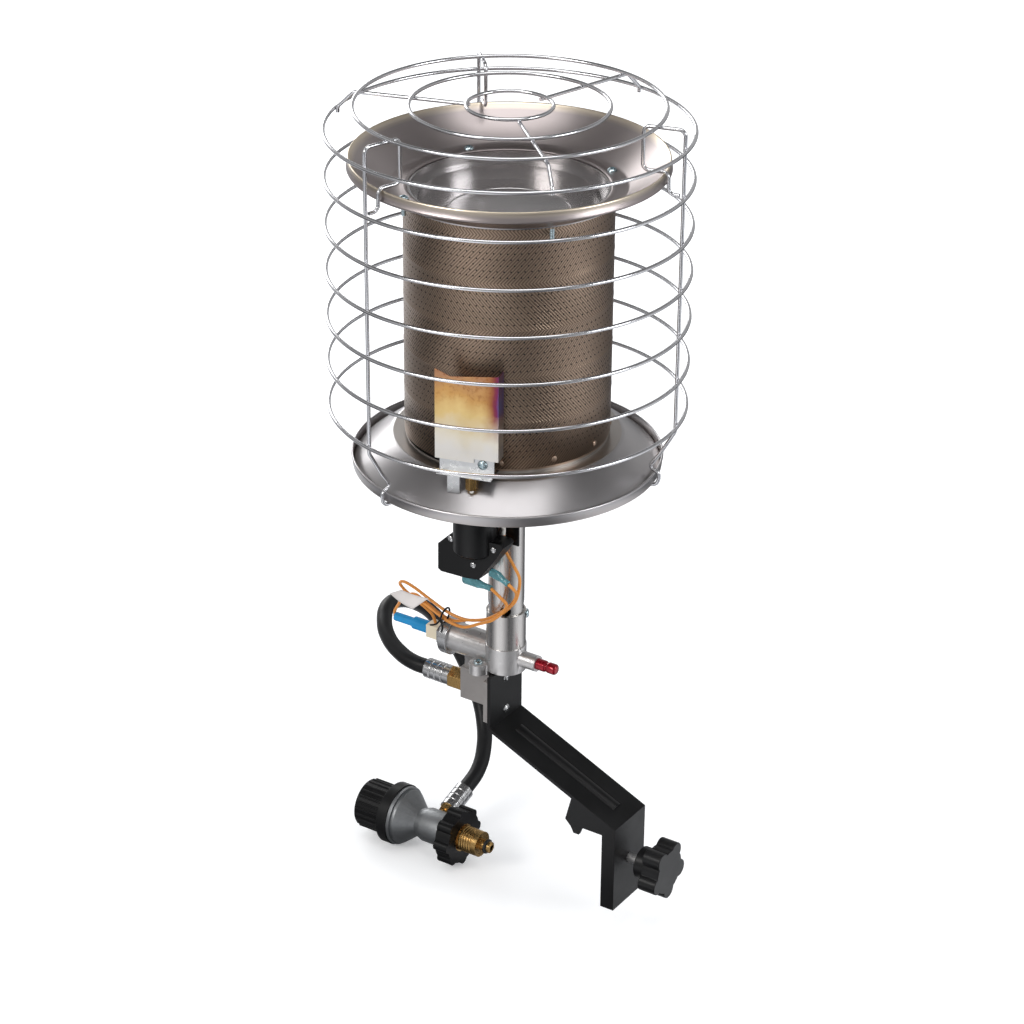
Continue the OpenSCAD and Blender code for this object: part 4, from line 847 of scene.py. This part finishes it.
class PlaceCamera(bpy.types.Operator):
    """Places the camera at the photograph's viewpoint."""
    bl_idname = "heater.place_camera"
    bl_label = "Camera"

    def execute(self, context):
        data = bpy.data.cameras.new("camera")
        data.lens = CAMERA_LENS
        data.sensor_width = 36
        data.clip_end = 20
        camera = bpy.data.objects.new("camera", data)
        pitch, roll = math.radians(CAMERA_PITCH), math.radians(CAMERA_ROLL)
        right = outward(CAMERA_TURN)
        level = Vector((-right.y, right.x, 0))
        ahead = level * math.cos(pitch) - Vector((0, 0, math.sin(pitch)))
        up = level * math.sin(pitch) + Vector((0, 0, math.cos(pitch)))
        x = right * math.cos(roll) + up * math.sin(roll)
        y = up * math.cos(roll) - right * math.sin(roll)
        place = Matrix((x, y, -ahead)).transposed().to_4x4()
        place.translation = Vector(CAMERA_PLACE)
        camera.matrix_world = place
        context.scene.collection.objects.link(camera)
        context.scene.camera = camera
        return {"FINISHED"}


class MixFinishes(bpy.types.Operator):
    """Mixes every material of the heater."""
    bl_idname = "heater.mix_finishes"
    bl_label = "Finishes"

    def execute(self, context):
        scene = context.scene
        FINISHES.update(build_finishes(scene.heater_colours, scene.heater_sizes.seam_pitch))
        return {"FINISHED"}


class LayHose(bpy.types.Operator):
    """Lays the gas hose from the inlet to the regulator."""
    bl_idname = "heater.lay_hose"
    bl_label = "Hose"

    def execute(self, context):
        sizes = context.scene.heater_sizes
        data = bpy.data.curves.new("hose_rubber", "CURVE")
        data.dimensions = "3D"
        data.bevel_depth = sizes.hose_diameter / 2
        data.bevel_resolution = 7
        data.resolution_u = 10
        data.use_fill_caps = True
        line = data.splines.new("BEZIER")
        route = metres(HOSE_ROUTE)
        line.bezier_points.add(len(route) - 1)
        for point, place in zip(line.bezier_points, route):
            point.co = place
            point.handle_left_type = "AUTO"
            point.handle_right_type = "AUTO"
        hose = bpy.data.objects.new("hose_rubber", data)
        context.scene.collection.objects.link(hose)
        data.materials.append(finish("rubber"))
        placed(hose, "heater", "hose")
        return {"FINISHED"}


class BendGuard(bpy.types.Operator):
    """Bends the guard's rings, spokes and uprights from round wire."""
    bl_idname = "heater.bend_guard"
    bl_label = "Guard"

    def execute(self, context):
        sizes = context.scene.heater_sizes
        wire = {"Radius": sizes.guard_wire / 2, "Sides": sizes.wire_sides, "Finish": finish("plated_wire")}
        pitch = (TOP_RING_Z - LOW_RING_Z) / (SIDE_RINGS - 1)
        axis = [(BURNER_X, 0, TOP_RING_Z - i * pitch) for i in range(SIDE_RINGS)]
        base = point_mesh("ring_places", metres(axis), ring_radius=[RING_R * MM] * SIDE_RINGS)
        placed(recipe("rings").make("guard_side_rings", base, **wire), "heater", "guard_rings")
        base = point_mesh("grille_places", metres([(BURNER_X, 0, GRILLE_Z)] * len(TOP_RINGS_R)),
                          ring_radius=[r * MM for r in TOP_RINGS_R])
        placed(recipe("rings").make("guard_top_rings", base, **wire), "heater", "grille_rings")
        # Radius and height along one wire
        spoke = [(31.3, CROWN_Z), (124, CROWN_Z), (137.3, 578.3), (137.3, 573.8)]
        spokes = [on_plane(spoke, FIRST_SPOKE_TURN + 120 * k) for k in range(3)]
        upright = [
            (117.5, 299.2), (123.9, 299.2), (125.4, 304.9), (125.4, 310.3), (118.5, 313.3), (118.5, 316.3),
            (125.6, 326.2), (UPRIGHT_R, 347), (UPRIGHT_R, CROWN_Z), (105, CROWN_Z), (105, 557.3),
            (125.2, 557.3), (125.4, 549.3), (125.6, 540.3), (134.2, 540.3),
        ]
        uprights = [on_plane(upright, FIRST_UPRIGHT_TURN + 120 * k) for k in range(3)]
        for name, paths, node in (("guard_spoke_wires", spokes, "guard_spokes"),
                                  ("guard_upright_wires", uprights, "guard_uprights")):
            made = recipe("bent").make(name, path_mesh(name, paths), Bend=sizes.wire_bend, **wire)
            placed(made, "heater", node)
        return {"FINISHED"}


class RollScreen(bpy.types.Operator):
    """Rolls the perforated screen with its seams and lays dark discs of painted shade where its holes are."""
    bl_idname = "heater.roll_screen"
    bl_label = "Burner screen"

    def execute(self, context):
        sizes = context.scene.heater_sizes
        pitch, rise, half = sizes.seam_pitch / MM, sizes.seam_rise / MM, 1.6
        profile = [(SCREEN_R, SCREEN_LOW_Z)]
        seam = SCREEN_LOW_Z + pitch
        while seam < SCREEN_TOP_Z - pitch / 2:
            profile += [(SCREEN_R, seam - half), (SCREEN_R + rise * 0.7, seam - half / 2),
                        (SCREEN_R + rise, seam), (SCREEN_R + rise * 0.7, seam + half / 2),
                        (SCREEN_R, seam + half)]
            seam += pitch
        profile += [(SCREEN_R, SCREEN_TOP_Z - 1.5), (SCREEN_R + 0.5, SCREEN_TOP_Z - 0.4),
                    (SCREEN_R + 1.6, SCREEN_TOP_Z), (FLANGE_R, SCREEN_TOP_Z)]
        skin = spun("burner_screen_skin", profile, finish("screen"))
        thicken(skin, 0.9, -1)
        placed(skin, "heater", "burner_screen")
        # Painted shade: dark discs just over the screen stand for its punched holes
        count = round(math.tau * SCREEN_R * MM / sizes.hole_pitch)
        holes = recipe("holes").make(
            "burner_screen_hole_shade", bpy.data.meshes.new("none"), Count=count, Rows=HOLE_ROWS,
            Radius=(SCREEN_R + HOLE_LIFT) * MM, Hole=sizes.hole_diameter / 2, Low=(SCREEN_LOW_Z + 10) * MM,
            High=(SCREEN_TOP_Z - 12) * MM, Finish=finish("hole"))
        placed(holes, "heater")
        return {"FINISHED"}


class PressReflectors(bpy.types.Operator):
    """Presses the two reflectors with rolled edges."""
    bl_idname = "heater.press_reflectors"
    bl_label = "Reflectors"

    def execute(self, context):
        # Radius and height over the flat's plane, from the hole to the rolled rim
        half = [
            (REFLECTOR_HOLE_R, 1.0), (78.6, 1.0), (79.6, 1.5), (80.6, 1.0), (FLAT_R - 2.5, 1.0),
            (FLAT_R - 1, 1.25), (FLAT_R + 0.5, 2.0), (RIM_R - 4, REFLECTOR_H - 3.6),
            (RIM_R - 2.4, REFLECTOR_H - 1.6), (RIM_R - 1.5, REFLECTOR_H - 0.5), (RIM_R - 0.8, REFLECTOR_H),
            (RIM_R - 0.2, REFLECTOR_H - 0.5), (RIM_R, REFLECTOR_H - 1.5), (RIM_R, BEAD_Z + 1.6),
            (RIM_R + 0.7, BEAD_Z + 0.9), (RIM_R + 0.9, BEAD_Z), (RIM_R + 0.3, BEAD_Z - 1.0),
            (RIM_R - 0.7, BEAD_Z - 1.0),
        ]
        for name, sign, level, key, node in (
                ("upper_reflector_sheet", 1, UPPER_Z, "upper_sheet", "upper_reflector"),
                ("lower_reflector_sheet", -1, PAN_Z, "lower_sheet", "lower_reflector")):
            shift = 0 if sign > 0 else 1.0
            profile = [(r, level + sign * z + shift) for r, z in half]
            sheet = spun(name, profile, finish(key))
            thicken(sheet, 0.8, sign)
            placed(sheet, "heater", node)
        return {"FINISHED"}


class DriveFasteners(bpy.types.Operator):
    """Drives the screws and rivets."""
    bl_idname = "heater.drive_fasteners"
    bl_label = "Screws and rivets"

    def execute(self, context):
        zinc = finish("zinc")
        places = []
        for k in range(4):
            places += on_plane([(85, UPPER_Z + 1.05)], FIRST_SCREW_TURN + 90 * k)
        self.screws("reflector_screw_set", places, [Vector((0, 0, 1))] * 4, LARGE_SCREW, 13.5, zinc,
                    "reflector_screws")
        x0, y0, z0 = SWITCH_BOX
        places = metres([(x0 + x, y0, z0 + z) for x, z in ((-19.9, 8.75), (1.7, -8.6), (20.8, 10.5))])
        self.screws("switch_screw_set", places, [Vector((0, -1, 0))] * 3, SMALL_SCREW, 3.0,
                    finish("bright"), "switch_screws")
        places = metres([(-99.4, 0, 72), (-99.4, 0, 102)])
        self.screws("bracket_screw_set", places, [Vector((1, 0, 0))] * 2, LARGE_SCREW, 7.0,
                    finish("bright"), "bracket_screws")
        out = outward(SENSOR_TURN)
        side = Vector((-out.y, out.x, 0))
        shield = Vector((BURNER_X, 0, 341.2)) + out * 96 + side * 12.75
        sleeve_out = outward(SLEEVE_SCREW_TURN)
        sleeve = Vector((BURNER_X, 0, 161.7)) + sleeve_out * 16.5
        lug = Vector((-116, -16.8, 118))
        self.screws("small_screw_set", [shield * MM, sleeve * MM, lug * MM],
                    [out, sleeve_out, Vector((0, 0, 1))], LARGE_SCREW, 1.5, zinc, "small_screws")
        places, facing = [], []
        for turn in range(-60, 181, 30):
            places += on_plane([(SCREEN_R, PAN_Z + 10)], turn)
            facing.append(outward(turn))
        base = point_mesh("rivet_places", places, facing=facing)
        rivets = recipe("rivets").make("foot_rivets", base, Head_radius=2.4 * MM, Head_height=0.9 * MM,
                                       Shank_radius=1.5 * MM, Shank_length=2 * MM, Finish=finish("tan_sheet"))
        placed(rivets, "heater", "base_rivets")
        return {"FINISHED"}

    def screws(self, name, places, facing, kind, shank_l, material, node):
        head_r, head_h, shank_r = kind
        base = point_mesh(name, places, facing=facing)
        made = recipe("screws").make(name, base, Head_radius=head_r * MM, Head_height=head_h * MM,
                                     Shank_radius=shank_r * MM, Shank_length=shank_l * MM, Finish=material)
        placed(made, "heater", node)


class RunLeads(bpy.types.Operator):
    """Runs the leads of the switch and the thermocouple, with their sleeve and tie."""
    bl_idname = "heater.run_leads"
    bl_label = "Leads"

    def execute(self, context):
        radius = context.scene.heater_sizes.lead_diameter / 2
        self.wire("thermocouple_wire", [LEAD_A], radius, "lead", "thermocouple_lead")
        self.wire("switch_wires", [LEAD_B, LEAD_C], radius, "lead", "switch_leads")
        self.wire("thermocouple_sleeve", [[*LEAD_A[:5], SLEEVE_END]], radius + 0.4 * MM, "white_sleeve")
        centre = Vector(TIE_AT)
        loop = []
        for k in range(24):
            turn = math.tau * k / 24
            loop.append(centre + Vector((1.2 * math.sin(turn), 6.2 * math.cos(turn), 7 * math.sin(turn))))
        tails = [[centre + Vector(step) for step in steps] for steps in (
            ((0, -6.2, 0), (-3, -8, -5), (-9, -8, -8)), ((0, -6.2, 0), (3, -8, -6), (2, -8, -11)))]
        self.wire("bundle_tie", [loop], 0.8 * MM, "plastic", "lead_tie", closed=True)
        self.wire("bundle_tie_ends", tails, 0.8 * MM, "plastic")
        return {"FINISHED"}

    def wire(self, name, paths, radius, key, *nodes, closed=False):
        base = path_mesh(name + "_path", [metres(path) for path in paths], closed)
        placed(recipe("soft").make(name, base, Radius=radius, Finish=finish(key)), "heater", *nodes)


class SleeveTerminals(bpy.types.Operator):
    """Makes the flat terminals and the clear sleeves over them."""
    bl_idname = "heater.sleeve_terminals"
    bl_label = "Terminals"

    def execute(self, context):
        # Each step is a share of the line with the half width and half thickness there
        sleeves, blades = [], []
        for i, path in enumerate(SPADES):
            line = metres(path)
            steps = [(0.0, 3.9, 2.3), (0.04, 4.2, 2.6), (0.5, 4.1, 2.6), (0.62, 3.2, 2.5), (0.72, 2.7, 2.5),
                     (0.97, 2.5, 2.4), (1.0, 2.2, 2.2)]
            sleeves.append(self.skin(f"terminal_sleeve_{i + 1}", line, steps, "sleeve"))
            steps = [(0.03, 2.9, 0.5), (0.45, 2.9, 0.5), (0.5, 1.6, 1.2), (0.7, 1.6, 1.5), (0.9, 1.4, 1.4)]
            blades.append(self.skin(f"terminal_blade_{i + 1}", line, steps, "plate"))
        for sleeve in sleeves:
            placed(sleeve, "heater", "spade_connectors")
        for blade in blades:
            placed(blade, "heater")
        return {"FINISHED"}

    def skin(self, name, line, steps, key):
        along = line[-1] - line[0]
        rings = [oval(self.at(*line, share), along, wide * MM, tall * MM) for share, wide, tall in steps]
        return loft(name, rings, finish(key))

    def at(self, start, middle, end, share):
        if share < 0.5:
            return start.lerp(middle, share * 2)
        return middle.lerp(end, share * 2 - 1)


class TieTag(bpy.types.Operator):
    """Ties the plain paper tag to the leads."""
    bl_idname = "heater.tie_tag"
    bl_label = "Paper tag"

    def execute(self, context):
        a, b, c, d = metres(TAG_CORNERS)
        across, down = 14, 6
        bm = bmesh.new()
        rows = []
        for j in range(down + 1):
            v = j / down
            row = []
            for i in range(across + 1):
                u = i / across
                place = b.lerp(c, u).lerp(a.lerp(d, u), v)
                curl = math.sin(u * math.pi) * 0.0016 + math.sin(v * math.pi) * 0.0006
                row.append(bm.verts.new(place + Vector((0, -curl, 0))))
            rows.append(row)
        for j in range(down):
            for i in range(across):
                bm.faces.new((rows[j][i], rows[j + 1][i], rows[j + 1][i + 1], rows[j][i + 1])).smooth = True
        tag = shown("paper_tag", plain_mesh("paper_tag", bm), finish("paper"))
        wall = tag.modifiers.new("Wall", "SOLIDIFY")
        wall.thickness = 0.3 * MM
        placed(tag, "heater", "lead_tag")
        return {"FINISHED"}


class WindSprings(bpy.types.Operator):
    """Winds the button's spring and the regulator's."""
    bl_idname = "heater.wind_springs"
    bl_label = "Springs"

    def execute(self, context):
        made = self.coil("button_spring_coil", wire=0.4, radius=3.4, length_mm=12.7,
                         start=(-85.6, 0, VALVE_Z))
        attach(made, "heater")
        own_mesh(made)
        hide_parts("button_spring")
        made = self.coil("regulator_spring_coil", wire=1.1, radius=7, length_mm=15.6,
                         start=(-223.9, 0, REGULATOR_Z))
        placed(made, "heater", "regulator_spring")
        return {"FINISHED"}

    def coil(self, name, wire, radius, length_mm, start):
        return recipe("spring").make(
            name, bpy.data.meshes.new("none"), Wire=wire * MM, Coil=radius * MM, Length=length_mm * MM,
            Turns=5.0, Start=tuple(part * MM for part in start), Finish=finish("bright"))


class RoundCastings(bpy.types.Operator):
    """Rounds the edges of the cast, moulded and pressed pieces."""
    bl_idname = "heater.round_castings"
    bl_label = "Rounded pieces"

    def execute(self, context):
        edge = context.scene.heater_sizes.edge_round
        # Solid, finish and how far its edges are rounded
        pieces = [
            ("bracket", "paint", 1.1), ("star_knob", "satin", 3.2), ("handwheel", "satin", 2.4),
            ("control_knob", "satin", 0.8), ("regulator_bonnet", "plastic", 1.4),
            ("regulator_body", "rough_cast", 1.2), ("switch_housing", "plastic", 1.2),
            ("switch_cover", "plastic", 1.2), ("switch_bracket", "paint", 0.6), ("valve_body", "cast", 1.4),
            ("valve_end_cap", "bright", 1.2), ("magnet_nut", "bright", 0.8),
            ("inlet_block", "dull_cast", 0.6),
            ("inlet_fitting", "brass", 0.7), ("hose_tail", "brass", 0.6), ("interrupter_block", "beige", 1.0),
            ("lead_terminal", "blue", 1.0), ("threaded_insert", "bright", 0.6), ("bolt_foot", "plate", 0.8),
            ("heat_shield", "tinted", 0.3), ("shield_bracket", "plate", 0.3), ("tube_sleeve", "tube", 0.8),
            ("burner_tube", "tube", 0.4), ("ferrules", "bright", 0.6), ("burner_cap", "cap_sheet", 0.5),
            ("connector_nose", "brass", 0.5), ("connector_nut", "brass", 0.25), ("clamp_bolt", "cast", 1.0),
            ("thermocouple", "brass", 0.5), ("gas_jet", "brass", 0.5), ("burner_base", "tan_sheet", 0.3),
            ("safety_button", "button", 2.2),
        ]
        for node, key, share in pieces:
            softened(node, key, edge * share)
        return {"FINISHED"}


class DressSolids(bpy.types.Operator):
    """Gives the solids that stay as they are their finishes."""
    bl_idname = "heater.dress_solids"
    bl_label = "Remaining solids"

    def execute(self, context):
        keys = {
            "inner_screen": "inner_screen", "tilt_weight": "bright", "magnet_unit": "plate",
            "valve_stem": "bright", "valve_disc": "seal", "diaphragm": "diaphragm",
            "nose_seal": "seal", "hook_bar": "paint",
        }
        for node, key in keys.items():
            solid = frame["nodes"][node]
            if not solid.material_slots:
                raise RuntimeError(node + " has no material slot")
            for slot in solid.material_slots:
                slot.link = "OBJECT"
                slot.material = finish(key)
        return {"FINISHED"}


class SetStage(bpy.types.Operator):
    """Lays the pale floor and sets the studio lamps."""
    bl_idname = "heater.set_stage"
    bl_label = "Stage"

    def execute(self, context):
        low = SOLID_BOX[0][2] - 0.5 * MM
        bm = bmesh.new()
        squares, reach = 24, 6
        bmesh.ops.create_grid(bm, x_segments=squares, y_segments=squares, size=reach)
        bmesh.ops.translate(bm, verts=bm.verts, vec=(0, 0, low))
        floor = shown("floor", plain_mesh("floor", bm), self.floor_finish())
        for name, place, size, power, shade in (
                ("key_lamp", (-0.75, -2.4, 1.9), 1.3, 34, (1.0, 0.985, 0.965)),
                ("side_lamp", (2.3, 0.3, 1.2), 1.1, 22, (0.96, 0.98, 1.0)),
                ("back_lamp", (-1.9, 1.1, 1.0), 1.2, 14, (1, 1, 1)),
                ("top_lamp", (0.17, -0.41, 2.45), 1.7, 20, (1, 1, 1))):
            data = bpy.data.lights.new(name, "AREA")
            data.shape = "RECTANGLE"
            data.size = size
            data.size_y = size * 0.7
            data.energy = power
            data.color = shade
            lamp = bpy.data.objects.new(name, data)
            aim = Vector((-0.1, 0, 0.3)) - Vector(place)
            lamp.matrix_world = Matrix.Translation(place) @ aim.to_track_quat("-Z", "Y").to_matrix().to_4x4()
            context.scene.collection.objects.link(lamp)
        self.set_world(context.scene)
        context.scene.view_settings.view_transform = "Standard"
        return {"FINISHED"}

    def floor_finish(self):
        made = Finish("Pale studio floor", srgb("#e8e8e7"), 0.8)
        grain = made.noise(9, 3)
        pale = made.mix(made.band(grain, 0.3, 0.7), srgb("#efefee"), srgb("#ececeb"))
        x, y, _ = made.parts()
        # Painted reflection: glossy rays see the floor in dark and light bands round the burner, which paint
        # streaks into the metals
        turn = made.math("ARCTAN2", y, made.math("SUBTRACT", x, BURNER_X * MM))
        bands, phase = 3.0, 0.183
        wave = made.math("SINE", made.math("ADD", made.math("MULTIPLY", turn, bands), phase))
        mirrored = made.mix(made.band(wave, -0.9, 0.9), srgb("#626263"), srgb("#f4f4f4"))
        glossy = made.add("ShaderNodeLightPath").outputs["Is Glossy Ray"]
        made.colour(made.mix(glossy, pale, mirrored))
        made.set("Specular IOR Level", 0.1).set("Emission Color", (1, 1, 1, 1))
        seen = made.add("ShaderNodeLightPath").outputs["Is Camera Ray"]
        glow = made.band(made.radius(), 0.7, 1.8, 0.3, 0.55)
        made.feed(made.shader.inputs["Emission Strength"], made.math("MULTIPLY", seen, glow))
        return made.material

    def set_world(self, scene):
        world = bpy.data.worlds.new("studio_world")
        scene.world = world
        world.use_nodes = True
        made = Nodes(world.node_tree)
        made.nodes.clear()
        rays = made.add("ShaderNodeLightPath").outputs
        across = made.add("ShaderNodeTexCoord").outputs["Generated"]
        height = made.add("ShaderNodeSeparateXYZ", across).outputs[2]
        sky = made.ramp(height, [(0.35, (0.5, 0.5, 0.5)), (0.8, (0.12, 0.12, 0.12))])
        lit = made.add("ShaderNodeBackground", (0.9, 0.93, 1.0, 1), 0.55).outputs[0]
        mirrored = made.add("ShaderNodeBackground", sky, 1.0).outputs[0]
        white = made.add("ShaderNodeBackground", (1, 1, 1, 1), 1.0).outputs[0]
        either = made.math("MAXIMUM", rays["Is Glossy Ray"], rays["Is Transmission Ray"])
        unseen = made.add("ShaderNodeMixShader", either, lit, mirrored).outputs[0]
        seen = made.add("ShaderNodeMixShader", rays["Is Camera Ray"], unseen, white).outputs[0]
        made.add("ShaderNodeOutputWorld", seen)


STEPS = (PlaceCamera, MixFinishes, LayHose, BendGuard, RollScreen, PressReflectors, DriveFasteners, RunLeads,
         SleeveTerminals, TieTag, WindSprings, RoundCastings, DressSolids, SetStage)


class HeaterPanel(bpy.types.Panel):
    """Lists the heater's sizes, colours and pieces."""
    bl_idname = "VIEW3D_PT_heater"
    bl_label = "Propane heater"
    bl_space_type = "VIEW_3D"
    bl_region_type = "UI"
    bl_category = "Heater"

    def draw(self, context):
        for group in (context.scene.heater_sizes, context.scene.heater_colours):
            box = self.layout.box()
            for key in group.__annotations__:
                box.prop(group, key)
        for step in STEPS:
            self.layout.operator(step.bl_idname)


CLASSES = (HeaterSizes, HeaterColours, *STEPS, HeaterPanel)


def register():
    for cls in CLASSES:
        bpy.utils.register_class(cls)
    bpy.types.Scene.heater_sizes = PointerProperty(type=HeaterSizes)
    bpy.types.Scene.heater_colours = PointerProperty(type=HeaterColours)


def unregister():
    del bpy.types.Scene.heater_colours
    del bpy.types.Scene.heater_sizes
    for cls in reversed(CLASSES):
        bpy.utils.unregister_class(cls)


def main():
    register()
    for step in STEPS:
        group, name = step.bl_idname.split(".")
        getattr(getattr(bpy.ops, group), name)()


if __name__ == "__main__":
    main()
